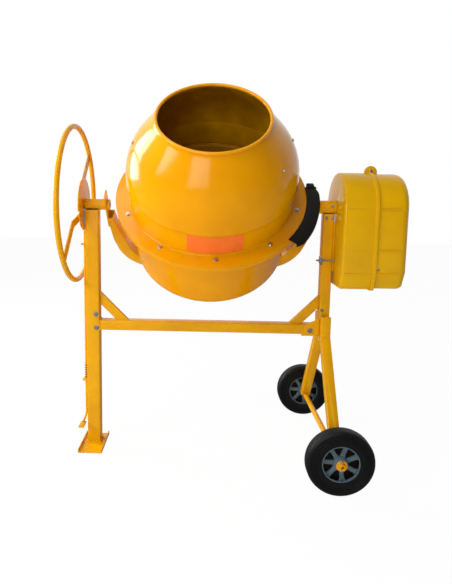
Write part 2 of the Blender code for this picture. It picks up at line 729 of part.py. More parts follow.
# ---------------------------------------------------------------- drum
def bowl_profile():
    """Outside of the upper drum from its rolled mouth down to the flange edge."""
    curl = 0.0015
    outer = MOUTH_RADIUS - SHEET
    neck = outer - 2 * curl
    top = MOUTH_RISE - SHEET
    shoulder = BOWL_RADIUS - SHOULDER_CURVE * (1 - math.cos(CONE_ANGLE))
    cone_rise = (shoulder - neck) / math.tan(CONE_ANGLE)
    neck_low = top - 2 * curl - 0.003
    arc_centre = (BOWL_RADIUS - SHOULDER_CURVE,
                  neck_low - cone_rise - SHOULDER_CURVE * math.sin(CONE_ANGLE))
    points = [(outer, top - 2 * curl - 0.002), (outer, top - curl)]
    points += [(outer - curl, top), (neck, top - curl), (neck, neck_low)]
    points += arc(arc_centre, SHOULDER_CURVE, CONE_ANGLE, 0.0, 6)
    points += [(BAND_RADIUS, FLANGE_RISE), (FLANGE_RADIUS, FLANGE_RISE)]
    return points


def bowl_and_band():
    """The upper drum's outside above its widest line and below it, with clearance between.

    The two rims lean by the bend there, so the cut is wider outside than inside.
    """
    wall = bowl_profile()
    above, widest, below = (Vector(point) for point in wall[-4:-1])
    bend = (widest - above).angle(below - widest)
    back = (above - widest).normalized() * (GAP + SHEET * math.sin(bend))
    return wall[:-3] + [tuple(widest + back)], wall[-3:]


def pan_profile():
    """Outside of the lower drum from the flange edge down to the spindle hole."""
    rise = FLANGE_RISE - SHEET - GAP - SHEET
    centre = (PAN_RADIUS - PAN_CORNER, PAN_CORNER - PAN_DEPTH)
    points = [(FLANGE_RADIUS, rise), (PAN_RADIUS, rise)]
    points += arc(centre, PAN_CORNER, 0.0, -math.pi / 2, 6)
    points.append((SPINDLE_RADIUS + GAP, -PAN_DEPTH))
    return points


def drum_radius(profile, height):
    """Outside radius of a drum profile at a height."""
    for (r0, z0), (r1, z1) in zip(profile, profile[1:]):
        if min(z0, z1) <= height <= max(z0, z1) and z0 != z1:
            return r0 + (r1 - r0) * (height - z0) / (z1 - z0)
    raise ValueError(f"the drum has no wall at {height}")


def build_drum_shells():
    """Upper and lower drum, pressed from sheet and bolted together at their flanges.

    The upper drum's band is a node of its own, so that collision follows the hollow inside.
    """
    bowl, band = bowl_and_band()
    profiles = {"drum_bowl": bowl, "drum_band": band, "drum_pan": pan_profile()}
    shells = []
    for name, profile in profiles.items():
        shell = turned(name, profile, drum_frame(), ROUND_STEPS, closed=False, wall=SHEET)
        dress(shell, "drum_enamel")
        shells.append(shell)
    return shells


def build_blades():
    """Two mixing blades that follow the drum's wall, one each side."""
    bowl = bowl_profile()
    clearance = (SHEET + 1.5 * GAP) / math.cos(CONE_ANGLE / 2)
    heights = [FLANGE_RISE + rise for rise in BLADE_STATIONS]
    outer = [(PAN_RADIUS - clearance, PAN_CORNER - PAN_DEPTH),
             (PAN_RADIUS - clearance, FLANGE_RISE + SHEET)]
    outer += [(drum_radius(bowl, height) - clearance, height) for height in heights]
    inner = [(radius - BLADE_WIDTH, height) for radius, height in outer[::-1]]
    blades = []
    for name, turn in {"right_blade": 0.0, "left_blade": math.pi}.items():
        place = drum_frame() @ Matrix.Rotation(turn, 4, "Z") @ Matrix.Rotation(math.pi / 2, 4, "X")
        blade = plate(name, [outer + inner], BLADE_THICKNESS,
                      place @ Matrix.Translation((0, 0, -BLADE_THICKNESS / 2)))
        dress(blade, "drum_inside")
        blades.append(blade)
    return blades


def tooth_columns(teeth, offset):
    """Angle and tip flag of each corner of the teeth, once round."""
    pitch = 2 * math.pi / teeth
    columns = []
    for i in range(teeth):
        for place, tip in ((-0.27, False), (-0.12, True), (0.12, True), (0.27, False)):
            columns.append((pitch * (i + offset + place), tip))
    return columns


def build_ring_gear():
    """Bevel ring gear under the flange; its teeth point along the tilt axis' cone."""
    bm = bmesh.new()
    sections = []
    for angle, tip in tooth_columns(RING_TEETH, 0.0):
        section = []
        for radius in (RING_INNER, RING_OUTER):
            scale = radius / RING_PITCH
            depth = -ADDENDUM if tip else DEDENDUM
            face = radius * GEAR_SLOPE + depth * scale
            for height in (face, RING_TOP):
                section.append(bm.verts.new((radius * math.cos(angle), radius * math.sin(angle),
                                             height)))
        sections.append(section)
    for this, following in zip(sections, sections[1:] + sections[:1]):
        for a, b in ((0, 1), (1, 3), (3, 2), (2, 0)):
            bm.faces.new((this[a], this[b], following[b], following[a]))
    ring = mesh_object("ring_gear", bm, drum_frame())
    dress(ring, "cast_iron")
    return ring


def build_spindle():
    """Flanged spindle bolted through the drum floor, and its nut below the yoke."""
    seat = -PAN_DEPTH + SHEET + GAP
    nut_top = -(PAN_DEPTH + YOKE_FLOOR_GAP + YOKE_WIDTH + 2 * GAP)
    end = nut_top - 0.020
    flange_top = seat + SPINDLE_FLANGE_THICKNESS
    spindle = turned("drum_spindle",
                     [(0.0, flange_top), (SPINDLE_FLANGE_RADIUS, flange_top),
                      (SPINDLE_FLANGE_RADIUS, seat), (SPINDLE_RADIUS, seat),
                      (SPINDLE_RADIUS, end), (0.0, end)], drum_frame(), FINE_STEPS)
    dress(spindle, "bare_steel")
    nut = plate("spindle_nut", [circle(SPINDLE_NUT_RADIUS, 6),
                                circle(SPINDLE_RADIUS + GAP, SMALL_STEPS)], SPINDLE_NUT_LENGTH,
                drum_frame() @ Matrix.Translation((0, 0, nut_top - SPINDLE_NUT_LENGTH)))
    dress(nut, "zinc_steel")
    return [spindle, nut]


# ---------------------------------------------------------------- yoke
def yoke_outline(inset):
    """The U of the yoke in X and along the drum axis; the inset gives the channel's hollow."""
    middle_x = YOKE_HALF - GAP - YOKE_WIDTH / 2
    middle_low = -(PAN_DEPTH + YOKE_FLOOR_GAP + YOKE_WIDTH / 2)
    half = YOKE_WIDTH / 2 - inset
    top = -YOKE_ARM_START + inset
    centre = (middle_x - YOKE_BEND, middle_low + YOKE_BEND)
    right = [(middle_x + half, top)]
    right += arc(centre, YOKE_BEND + half, 0.0, -math.pi / 2, 8)
    left = [(-x, y) for x, y in right[::-1]]
    back = [(-(middle_x - half), top)]
    inner = [(-x, y) for x, y in arc(centre, YOKE_BEND - half, 0.0, -math.pi / 2, 8)]
    back += inner
    back += [(-x, y) for x, y in inner[::-1]]
    back.append((middle_x - half, top))
    return right + left + back


def build_yoke():
    """Bent channel that carries the drum, with its web to the front."""
    place = yoke_frame() @ Matrix.Translation((0, 0, -YOKE_DEPTH / 2))
    yoke = plate("yoke", [yoke_outline(0.0)], YOKE_DEPTH, place)
    hollow = plate("yoke_hollow", [yoke_outline(YOKE_WALL)], YOKE_DEPTH,
                   place @ Matrix.Translation((0, 0, -YOKE_WALL)), cutter=True)
    cut(yoke, hollow)
    reach = PAN_DEPTH + YOKE_FLOOR_GAP + 2 * YOKE_WIDTH
    drill(yoke, SPINDLE_RADIUS + GAP, drum_frame() @ Matrix.Translation((0, 0, -reach)),
          2 * YOKE_WIDTH)
    dress(yoke, "frame_enamel")
    return yoke


def build_spindle_bearing():
    """Bearing housing between the drum floor and the yoke."""
    low = -(PAN_DEPTH + YOKE_FLOOR_GAP - GAP)
    profile = [(BEARING_HOUSING_RADIUS, low + 0.008), (BEARING_HOUSING_RADIUS, low),
               (SPINDLE_RADIUS + GAP, low), (SPINDLE_RADIUS + GAP, low + 0.040),
               (0.024, low + 0.040), (0.024, low + 0.012)]
    housing = turned("spindle_bearing", profile, drum_frame(), FINE_STEPS)
    dress(housing, "cast_iron")
    return housing


def yoke_end_plate(side, start, bore):
    """End plate of the yoke across the trunnion axis, ready to weld to its trunnion."""
    half = YOKE_PLATE_WIDTH / 2
    outline = rectangle(-half, -YOKE_PLATE_BELOW, half, YOKE_PLATE_ABOVE)
    return plate(side + "_end_plate", [outline, circle(bore, SMALL_STEPS)], YOKE_PLATE,
                 frame(PIVOT + X_AXIS * start, DRUM_ACROSS, DRUM_AXIS), cutter=True)


def build_trunnions():
    """Hollow trunnions, each with the end plate that joins it to the yoke."""
    start = DISC_X
    plate_out = DRUM_X - YOKE_HALF + GAP
    end = plate_out + TRUNNION_COLLAR_LENGTH
    left = turned("left_trunnion",
                  [(TRUNNION_RADIUS, start), (TRUNNION_RADIUS, plate_out),
                   (TRUNNION_COLLAR_RADIUS, plate_out), (TRUNNION_COLLAR_RADIUS, end),
                   (TRUNNION_BORE, end), (TRUNNION_BORE, start)], along_x(0), FINE_STEPS)
    join(left, yoke_end_plate("left", -YOKE_OUTER_FACE, (TRUNNION_RADIUS + TRUNNION_BORE) / 2))
    dress(left, "frame_enamel")
    right_start = DRUM_X + YOKE_HALF
    right_end = HOUSING_X - 2 * GAP
    right = turned("right_trunnion",
                   ring_profile(DRIVE_SHAFT_RADIUS + GAP, RIGHT_TRUNNION_RADIUS, 0,
                                right_end - right_start), along_x(right_start), FINE_STEPS)
    middle_bore = (DRIVE_SHAFT_RADIUS + RIGHT_TRUNNION_RADIUS) / 2
    join(right, yoke_end_plate("right", YOKE_HALF, middle_bore))
    dress(right, "bare_steel")
    return [left, right]


def sector(inner, outer, start, end, steps=14):
    """An annular sector's outline."""
    return arc((0, 0), outer, start, end, steps) + arc((0, 0), inner, end, start, steps)


def build_gear_guard():
    """Plastic guard over the pinion and the flange edge, open towards the drum."""
    place = drum_frame() @ Matrix.Translation((0, 0, -GUARD_BELOW))
    inner = FLANGE_RADIUS + 0.0035
    guard = plate("gear_guard", [sector(inner, GUARD_OUTER, GUARD_START, GUARD_END)],
                  GUARD_BELOW + GUARD_ABOVE, place)
    margin = GUARD_WALL / GUARD_OUTER
    hollow = plate("guard_hollow",
                   [sector(inner - 0.01, GUARD_INNER, GUARD_START + margin, GUARD_END - margin)],
                   GUARD_BELOW + GUARD_ABOVE, place @ Matrix.Translation((0, 0, -GUARD_WALL)),
                   cutter=True)
    cut(guard, hollow)
    drill(guard, RIGHT_TRUNNION_RADIUS + 2 * GAP, along_x(DRUM_X + YOKE_HALF), 0.03)
    dress(guard, "black_plastic")
    return guard


# ---------------------------------------------------------------- handwheel and lock
def build_lock_disc():
    """Notched disc behind the handwheel; one notch for each held tilt."""
    outline = []
    half = math.asin(NOTCH_WIDTH / 2 / DISC_RADIUS)
    notches = range(-NOTCHES_EACH_WAY, NOTCHES_EACH_WAY + 1)
    centres = [-math.pi / 2 + i * TILT_STEP for i in notches]
    for i, angle in enumerate(centres):
        outline.append((DISC_RADIUS * math.cos(angle - half), DISC_RADIUS * math.sin(angle - half)))
        for side in (-1, 1):
            x, y = DISC_RADIUS - NOTCH_DEPTH, side * NOTCH_WIDTH / 2
            outline.append((x * math.cos(angle) - y * math.sin(angle),
                            x * math.sin(angle) + y * math.cos(angle)))
        outline.append((DISC_RADIUS * math.cos(angle + half), DISC_RADIUS * math.sin(angle + half)))
        following = centres[i + 1] if i + 1 < len(centres) else centres[0] + 2 * math.pi
        steps = 4 if i + 1 < len(centres) else 24
        outline += arc((0, 0), DISC_RADIUS, angle + half, following - half, steps)[1:-1]
    disc = plate("lock_disc", [outline, circle(TRUNNION_RADIUS + GAP, SMALL_STEPS)],
                 DISC_THICKNESS, along_x(DISC_X))
    dress(disc, "frame_enamel")
    return disc


def build_handwheel():
    """Tube rim, the bent flat bar across it and the hub bolt."""
    bm = bmesh.new()
    grid = []
    sides = 10
    for i in range(ROUND_STEPS):
        turn = 2 * math.pi * i / ROUND_STEPS
        ring = []
        for j in range(sides):
            roll = 2 * math.pi * j / sides
            radius = HANDWHEEL_RADIUS + HANDWHEEL_TUBE * math.cos(roll)
            ring.append(bm.verts.new((radius * math.cos(turn), radius * math.sin(turn),
                                      HANDWHEEL_TUBE * math.sin(roll))))
        grid.append(ring)
    for i, ring in enumerate(grid):
        following = grid[(i + 1) % ROUND_STEPS]
        for j in range(sides):
            k = (j + 1) % sides
            bm.faces.new((ring[j], following[j], following[k], ring[k]))
    rim = mesh_object("handwheel_rim", bm, along_x(HANDWHEEL_X))
    dress(rim, "frame_enamel")

    half = BAR_THICKNESS / 2
    middle = BAR_X + half
    inside = (HANDWHEEL_RADIUS - HANDWHEEL_TUBE) * math.cos(math.pi / ROUND_STEPS)
    end = math.sqrt(inside ** 2 - (BAR_WIDTH / 2) ** 2) - GAP
    right = [(end, HANDWHEEL_X), (BAR_BEND_RADIUS, HANDWHEEL_X), (BAR_SEAT_RADIUS, middle)]
    path = right + [(-x, y) for x, y in right[::-1]]
    upper = [(x, y + half) for x, y in path]
    lower = [(x, y - half) for x, y in path[::-1]]
    bar = plate("handwheel_bar", [upper + lower], BAR_WIDTH,
                frame(Z_AXIS * TRUNNION_HEIGHT + DRUM_AXIS * BAR_WIDTH / 2, DRUM_ACROSS, X_AXIS))
    drill(bar, HUB_BOLT_RADIUS + GAP, along_x(BAR_X - 0.01), 0.02)
    dress(bar, "frame_enamel")
    head_start = BAR_X - GAP - HUB_HEAD_LENGTH
    bolt = rod("hub_bolt", HUB_BOLT_RADIUS, along_x(head_start),
               DISC_X + HUB_BOLT_REACH - head_start)
    head = rod("hub_bolt_head", HUB_HEAD_RADIUS, along_x(head_start), HUB_HEAD_LENGTH, 6, True)
    join(bolt, head)
    dress(bolt, "zinc_steel")
    return [rim, bar, bolt]


def build_lock_rod():
    """Sprung rod with its pedal, the collar under the spring and the two guides."""
    knee = 0.012
    points = [(ROD_X, 0, ROD_TOP), (ROD_X, 0, ROD_FOOT + knee),
              (ROD_X - 0.002, -0.006, ROD_FOOT), (ROD_X - 0.006, -0.030, ROD_FOOT - knee)]
    lock_rod = bent_rod("lock_rod", points, ROD_RADIUS)
    pedal_top = ROD_FOOT - knee - ROD_RADIUS / 2
    middle = ROD_X - 0.006
    pedal = box("lock_pedal", (middle - PEDAL_WIDTH / 2, -0.022 - PEDAL_LENGTH,
                               pedal_top - PEDAL_THICKNESS),
                (middle + PEDAL_WIDTH / 2, -0.022, pedal_top), cutter=True)
    join(lock_rod, pedal)
    dress(lock_rod, "frame_enamel")
    collar = turned("spring_collar",
                    ring_profile(ROD_RADIUS + GAP, SPRING_RADIUS + SPRING_WIRE, 0, 0.005),
                    along_z(ROD_X, 0, SPRING_FOOT + SPRING_LENGTH + GAP), SMALL_STEPS)
    dress(collar, "zinc_steel")
    parent_to(joint_empty("lock_slide_axis", along_z(ROD_X, 0, ROD_FOOT)),
              [lock_rod, collar])

    coil = []
    rise = SPRING_LENGTH - 2 * SPRING_WIRE
    for i in range(SPRING_TURNS * SPRING_STEPS + 1):
        angle = 2 * math.pi * i / SPRING_STEPS
        height = SPRING_FOOT + SPRING_WIRE + rise * i / (SPRING_TURNS * SPRING_STEPS)
        coil.append((ROD_X + SPRING_RADIUS * math.cos(angle), SPRING_RADIUS * math.sin(angle),
                     height))
    spring = bent_rod("lock_spring", coil, SPRING_WIRE, resolution=0)
    dress(spring, "spring_steel")

    for name, height in GUIDE_HEIGHTS.items():
        half = GUIDE_SIZE / 2
        outline = rectangle(ROD_X - half, -half, -LEFT_FACE - GAP, half)
        hole = circle(ROD_RADIUS + GAP, 14, (ROD_X, 0.0))
        guide = plate(name, [outline, hole], GUIDE_THICKNESS,
                      along_z(0, 0, height - GUIDE_THICKNESS / 2))
        dress(guide, "frame_enamel")


# ---------------------------------------------------------------- drive
def housing_outline(radius):
    """Arch-topped section of the housing in Y and Z, about the trunnion axis."""
    inset = HOUSING_RADIUS - radius
    low = -HOUSING_BELOW_AXIS + inset
    foot = radius - HOUSING_TAPER
    corner = max(HOUSING_CORNER - inset, 0.004)
    right = arc((0, 0), radius, math.pi / 2, 0.0, 10)
    right.append((radius, -HOUSING_TAPER_START))
    right += arc((foot - corner, low + corner), corner, 0.0, -math.pi / 2, 3)
    left = [(-y, z) for y, z in right[::-1]]
    return right + left[:-1]


def loft(name, sections, matrix, cutter=False):
    """A solid through outlines with equal numbers of points, each at its own local height."""
    bm = bmesh.new()
    rings = [[bm.verts.new((x, y, height)) for x, y in outline] for outline, height in sections]
    for low, high in zip(rings, rings[1:]):
        for i, corner in enumerate(low):
            j = (i + 1) % len(low)
            bm.faces.new((corner, low[j], high[j], high[i]))
    bm.faces.new(rings[0][::-1])
    bm.faces.new(rings[-1])
    return mesh_object(name, bm, matrix, cutter)


def rounded_shell(name, radius, length, rounding, matrix, cutter=False):
    """The housing's section drawn along local z, closed by a rounded far end."""
    sections = [(housing_outline(radius), 0.0)]
    for inset, rise in arc((0.0, 0.0), rounding, 0.0, math.pi / 2, 4):
        sections.append((housing_outline(radius - rounding + inset), length - rounding + rise))
    return loft(name, sections, matrix, cutter)


def build_housing():
    """Motor housing: inner shell, partition that carries the motor, and outer cover."""
    mirrored = frame((SHELL_END, 0, TRUNNION_HEIGHT), -Y_AXIS, Z_AXIS)
    shell = rounded_shell("housing_shell", HOUSING_RADIUS, HOUSING_SHELL_LENGTH, SHELL_ROUNDING,
                          mirrored)
    cavity_radius = HOUSING_RADIUS - HOUSING_WALL
    hollow = rounded_shell("shell_hollow", cavity_radius, HOUSING_SHELL_LENGTH,
                           SHELL_ROUNDING - HOUSING_WALL,
                           mirrored @ Matrix.Translation((0, 0, -HOUSING_WALL)), cutter=True)
    cut(shell, hollow)
    drill(shell, DRIVE_SHAFT_RADIUS + GAP, along_x(HOUSING_X - 0.01), 0.02)
    dress(shell, "housing_paint")

    cover_radius = cavity_radius - GAP
    length = COVER_END - COVER_START
    cover = rounded_shell("housing_cover", cover_radius, length, COVER_ROUNDING,
                          along_x(COVER_START))
    hollow = rounded_shell("cover_hollow", cover_radius - HOUSING_WALL, length,
                           COVER_ROUNDING - HOUSING_WALL, along_x(COVER_START - HOUSING_WALL),
                           cutter=True)
    cut(cover, hollow)
    dress(cover, "housing_paint")

    shaft_hole = circle(DRIVE_SHAFT_RADIUS + GAP, SMALL_STEPS)
    motor_hole = circle(MOTOR_SHAFT_RADIUS + 0.004, SMALL_STEPS, (0.0, -MOTOR_DROP))
    partition = plate("motor_partition",
                      [housing_outline(cover_radius), shaft_hole, motor_hole], PARTITION,
                      along_x(PARTITION_X))
    dress(partition, "bare_steel")

    half = HOUSING_BRACKET_HALF_WIDTH
    bracket = box("housing_bracket",
                  (RIGHT_POST_X + RIGHT_FACE + GAP, -half, TRUNNION_HEIGHT - BRACKET_BOTTOM),
                  (HOUSING_X - GAP, half, TRUNNION_HEIGHT - BRACKET_TOP))
    dress(bracket, "bare_steel")


def build_motor():
    """Motor body on the partition, with the rotor shaft, fan and small pulley."""
    body_end = PARTITION_X - GAP
    start = body_end - MOTOR_LENGTH
    place = along_x(start, 0, MOTOR_HEIGHT)
    bore = MOTOR_SHAFT_RADIUS + GAP
    body = turned("motor_body",
                  [(MOTOR_RADIUS - 0.010, MOTOR_LENGTH), (MOTOR_RADIUS, MOTOR_LENGTH - 0.010),
                   (MOTOR_RADIUS, 0.012), (MOTOR_RADIUS - 0.010, 0.0), (bore, 0.0),
                   (bore, MOTOR_LENGTH)], place, FINE_STEPS)
    dress(body, "motor_paint")
    shaft_start = start - 0.008
    shaft_end = PULLEY_X + PULLEY_WIDTH + 0.004
    shaft = rod("motor_shaft", MOTOR_SHAFT_RADIUS, along_x(shaft_start, 0, MOTOR_HEIGHT),
                shaft_end - shaft_start)
    dress(shaft, "bare_steel")
    fan = turned("motor_fan", ring_profile(bore, FAN_RADIUS, 0, FAN_LENGTH),
                 along_x(start - GAP - 0.001 - FAN_LENGTH, 0, MOTOR_HEIGHT), SMALL_STEPS)
    dress(fan, "black_plastic")
    pulley = turned("motor_pulley", pulley_profile(MOTOR_PULLEY_RADIUS, bore),
                    along_x(PULLEY_X, 0, MOTOR_HEIGHT), FINE_STEPS)
    dress(pulley, "bare_steel")
    parent_to(joint_empty("motor_axis", along_x(PULLEY_X, 0, MOTOR_HEIGHT)), [shaft, fan, pulley])


def pulley_profile(radius, bore):
    """Section of a grooved pulley; the belt's inside runs on the groove floor."""
    middle = PULLEY_WIDTH / 2
    floor = radius - BELT_SEAT
    groove = BELT_WIDTH / 2 + GAP
    return [(radius, PULLEY_WIDTH), (radius, middle + groove), (floor, middle + groove),
            (floor, middle - groove), (radius, middle - groove), (radius, 0.0), (bore, 0.0),
            (bore, PULLEY_WIDTH)]


def belt_outline(extra):
    """The belt's path round both pulleys, in Y and Z from the trunnion axis."""
    large = LARGE_PULLEY_RADIUS - BELT_SEAT + extra
    small = MOTOR_PULLEY_RADIUS - BELT_SEAT + extra
    lean = math.asin((large - small) / MOTOR_DROP)
    upper = arc((0.0, 0.0), large, -lean, math.pi + lean, 24)
    lower = arc((0.0, -MOTOR_DROP), small, math.pi + lean, 2 * math.pi - lean, 10)
    return upper + lower


def build_belt_drive():
    """Drive shaft on the tilt axis with its pinion and large pulley, and the belt."""
    shaft_start = DRUM_X + PAN_RADIUS + 0.0045
    shaft_end = PULLEY_X + PULLEY_WIDTH + 0.008
    shaft = rod("drive_shaft", DRIVE_SHAFT_RADIUS, along_x(shaft_start), shaft_end - shaft_start)
    dress(shaft, "bare_steel")
    pulley = turned("large_pulley", pulley_profile(LARGE_PULLEY_RADIUS, DRIVE_SHAFT_RADIUS + GAP),
                    along_x(PULLEY_X), FINE_STEPS)
    dress(pulley, "cast_iron")
    belt_place = along_x(PULLEY_X + (PULLEY_WIDTH - BELT_WIDTH) / 2)
    belt = plate("drive_belt", [belt_outline(GAP + BELT_THICKNESS), belt_outline(GAP)],
                 BELT_WIDTH, belt_place)
    dress(belt, "belt_rubber")

    outline = []
    for angle, tip in tooth_columns(PINION_TEETH, 0.5):
        radius = RING_PITCH * GEAR_SLOPE + (ADDENDUM if tip else -DEDENDUM)
        turn = angle + math.pi / 2 + TILT_AT_REST
        outline.append((radius * math.cos(turn), radius * math.sin(turn)))
    pinion = plate("bevel_pinion", [outline], GEAR_FACE, along_x(DRUM_X + RING_INNER))
    small, large = RING_INNER / RING_PITCH, RING_OUTER / RING_PITCH
    for vertex in pinion.data.vertices:
        scale = small if vertex.co.z < 0 else large
        vertex.co.x *= scale
        vertex.co.y *= scale
    drill(pinion, DRIVE_SHAFT_RADIUS + GAP, along_x(DRUM_X + RING_INNER - 0.01), GEAR_FACE + 0.02)
    dress(pinion, "cast_iron")
    return [shaft, pulley, pinion]


def build_switch():
    """Switch box on the back of the housing, with two buttons and the mains inlet."""
    middle = (HOUSING_X + SHELL_END) / 2
    back = HOUSING_RADIUS + GAP
    low = Vector((middle - SWITCH_SIZE.x / 2, back, SWITCH_HEIGHT - SWITCH_SIZE.z / 2))
    case = box("switch_box", low, low + SWITCH_SIZE, bevel=0.003)
    face = back + SWITCH_SIZE.y
    seat_depth = 0.006
    for name, offset in {"start_button": 0.5, "stop_button": -0.5}.items():
        height = SWITCH_HEIGHT + 0.008 + offset * BUTTON_PITCH
        drill(case, BUTTON_RADIUS + GAP, along_y(middle, face - seat_depth, height), 0.02)
        button = rod(name, BUTTON_RADIUS, along_y(middle, face - seat_depth + 0.0045, height),
                     BUTTON_LENGTH - 0.0045)
        dress(button, "green_button" if name == "start_button" else "red_button")
        parent_to(joint_empty(name + "_axis", along_y(middle, face, height)), [button])
    dress(case, "black_plastic")
    inlet = turned("power_inlet",
                   [(0.0, 0.0), (INLET_RADIUS, 0.0), (INLET_RADIUS, -INLET_LENGTH),
                    (INLET_RADIUS - 0.003, -INLET_LENGTH), (INLET_RADIUS - 0.003, -0.006),
                    (0.0, -0.006)],
                   along_z(middle, back + SWITCH_SIZE.y / 2, low.z - GAP), SMALL_STEPS)
    dress(inlet, "black_plastic")


# ---------------------------------------------------------------- whole mixer
def main():
    """Clear the scene and build the mixer."""
    for obj in list(bpy.data.objects):
        bpy.data.objects.remove(obj)
    bpy.context.scene.collection.children.link(MODEL)
    bpy.context.scene.collection.children.link(CUTTERS)

    build_foot()
    build_posts()
    build_beam()
    build_braces()
    build_legs()
    build_axle()
    build_wheel("front", -1.0)
    build_wheel("rear", 1.0)
    build_bearings()
    build_tension_bolt()
    build_housing()
    build_motor()
    build_switch()
    build_lock_rod()

    tilting = build_trunnions() + build_handwheel()
    tilting += [build_yoke(), build_spindle_bearing(), build_gear_guard(), build_lock_disc()]
    parent_to(joint_empty("tilt_axis", along_x(DRUM_X)), tilting)
    turning = build_drum_shells() + build_blades() + [build_ring_gear()] + build_spindle()
    parent_to(joint_empty("drum_axis", drum_frame()), turning)
    parent_to(joint_empty("pinion_axis", along_x(DRUM_X + RING_PITCH)), build_belt_drive())


main()
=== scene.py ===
"""Looks of a tipping drum concrete mixer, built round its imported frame.

Everything is in metres in the frame's own axes: the origin is on the floor under the left
post, +X runs from the handwheel to the motor housing, -Y is the side the mouth leans to and
+Z is up. Each class below builds and dresses one sub-assembly.
"""

import json
import logging
import math
from collections.abc import Sequence
from dataclasses import dataclass
from enum import Enum

import bmesh
import bpy
from mathutils import Matrix, Vector

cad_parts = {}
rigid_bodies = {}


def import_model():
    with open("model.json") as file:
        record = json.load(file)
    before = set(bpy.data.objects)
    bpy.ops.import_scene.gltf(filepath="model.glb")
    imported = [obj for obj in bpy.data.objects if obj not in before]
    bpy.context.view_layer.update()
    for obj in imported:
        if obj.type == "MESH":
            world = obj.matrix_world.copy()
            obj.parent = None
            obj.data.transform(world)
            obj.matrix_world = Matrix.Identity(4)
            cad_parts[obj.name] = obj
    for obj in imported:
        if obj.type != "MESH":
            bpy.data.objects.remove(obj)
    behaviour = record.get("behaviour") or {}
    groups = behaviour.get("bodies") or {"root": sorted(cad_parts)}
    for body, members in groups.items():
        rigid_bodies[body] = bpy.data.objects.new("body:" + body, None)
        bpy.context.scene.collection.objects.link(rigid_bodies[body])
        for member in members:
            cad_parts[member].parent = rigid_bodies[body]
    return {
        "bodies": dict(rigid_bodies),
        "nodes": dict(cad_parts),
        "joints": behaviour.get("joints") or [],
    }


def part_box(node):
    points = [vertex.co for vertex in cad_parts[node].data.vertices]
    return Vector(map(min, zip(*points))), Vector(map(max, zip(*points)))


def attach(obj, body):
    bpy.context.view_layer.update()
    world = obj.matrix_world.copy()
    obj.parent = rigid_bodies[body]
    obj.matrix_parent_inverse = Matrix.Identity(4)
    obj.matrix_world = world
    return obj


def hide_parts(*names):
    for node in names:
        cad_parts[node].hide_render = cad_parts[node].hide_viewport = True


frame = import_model()
KEPT = set(frame["nodes"].values()) | set(frame["bodies"].values())
for thing in [thing for thing in bpy.data.objects if thing not in KEPT]:
    bpy.data.objects.remove(thing)
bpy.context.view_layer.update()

LOG = logging.getLogger("concrete_mixer")
MM = 0.001
GAP = 0.0003                    # clearance that touching pieces keep
SEED = 7
SAME_PLACE = 1e-6               # corners nearer than this are one corner
CAD_SAME_PLACE = 2e-6           # the same, for the frame's loose triangles
NO_LENGTH = 1e-9                # steps shorter than this have no direction
SOFT_TURN = 35.0                # degrees; edges that turn by less are shaded smooth
SHELL_TURN = 28.0               # the same, for the drum's shells and the tyres
EASED_TURN = 30.0               # degrees; edges that turn by more are rounded
FLAT_TURN = math.radians(0.5)   # faces that turn by less are one face
STRAIGHT = math.radians(88.0)   # corners with a larger half angle stay as they are
EDGE_SHARE = 0.45               # most of an edge that one rounded corner takes
SHEET_MITRE = 0.4               # smallest cosine that stretches a sheet's wall
SWEEP_MITRE = 0.5               # the same, for a swept section
WELD_PITCH = 0.8                # step between a weld's ripples, as a share of their radius

Point = tuple[float, float]
Rays = tuple[bpy.types.NodeSocket, bpy.types.NodeSocket]

X_AXIS = Vector((1.0, 0.0, 0.0))
Y_AXIS = Vector((0.0, 1.0, 0.0))
Z_AXIS = Vector((0.0, 0.0, 1.0))


def joint_named(name: str) -> dict:
    """The frame's joint of that name."""
    return next(joint for joint in frame["joints"] if joint["name"] == name)


PIVOT = Vector(joint_named("drum_spin")["pos_m"])
DRUM_AXIS = Vector(joint_named("drum_spin")["axis"]).normalized()
DRUM_ACROSS = DRUM_AXIS.cross(X_AXIS)


# ---------------------------------------------------------------- placements and outlines
def placed(origin: Sequence[float], across: Vector, up: Vector) -> Matrix:
    """A placement from two of its axes.

    Args:
        origin: Where local zero lies.
        across: Direction of local x.
        up: Direction of local y.

    Returns:
        The matrix whose local z is across times up.
    """
    matrix = Matrix((across, up, across.cross(up))).transposed().to_4x4()
    matrix.translation = Vector(origin)
    return matrix


def drum_place() -> Matrix:
    """Local z along the drum axis, local x along +X."""
    return placed(PIVOT, X_AXIS, DRUM_ACROSS)


def along_x(x: float, y: float = 0.0, z: float = PIVOT.z) -> Matrix:
    """Local z along +X, local x along +Y."""
    return placed((x, y, z), Y_AXIS, Z_AXIS)


def along_y(x: float, y: float, z: float) -> Matrix:
    """Local z along +Y, local x along +Z."""
    return placed((x, y, z), Z_AXIS, X_AXIS)


def along_z(x: float, y: float, z: float) -> Matrix:
    """Local z along +Z, local x along +X."""
    return placed((x, y, z), X_AXIS, Y_AXIS)


def arc(centre: Point, radius: float, start: float, end: float, steps: int) -> list[Point]:
    """Points along an arc, both ends included."""
    turns = [start + (end - start) * i / steps for i in range(steps + 1)]
    return [(centre[0] + radius * math.cos(a), centre[1] + radius * math.sin(a)) for a in turns]


def rectangle(x0: float, y0: float, x1: float, y1: float) -> list[Point]:
    """A rectangle's corners, counterclockwise."""
    return [(x0, y0), (x1, y0), (x1, y1), (x0, y1)]


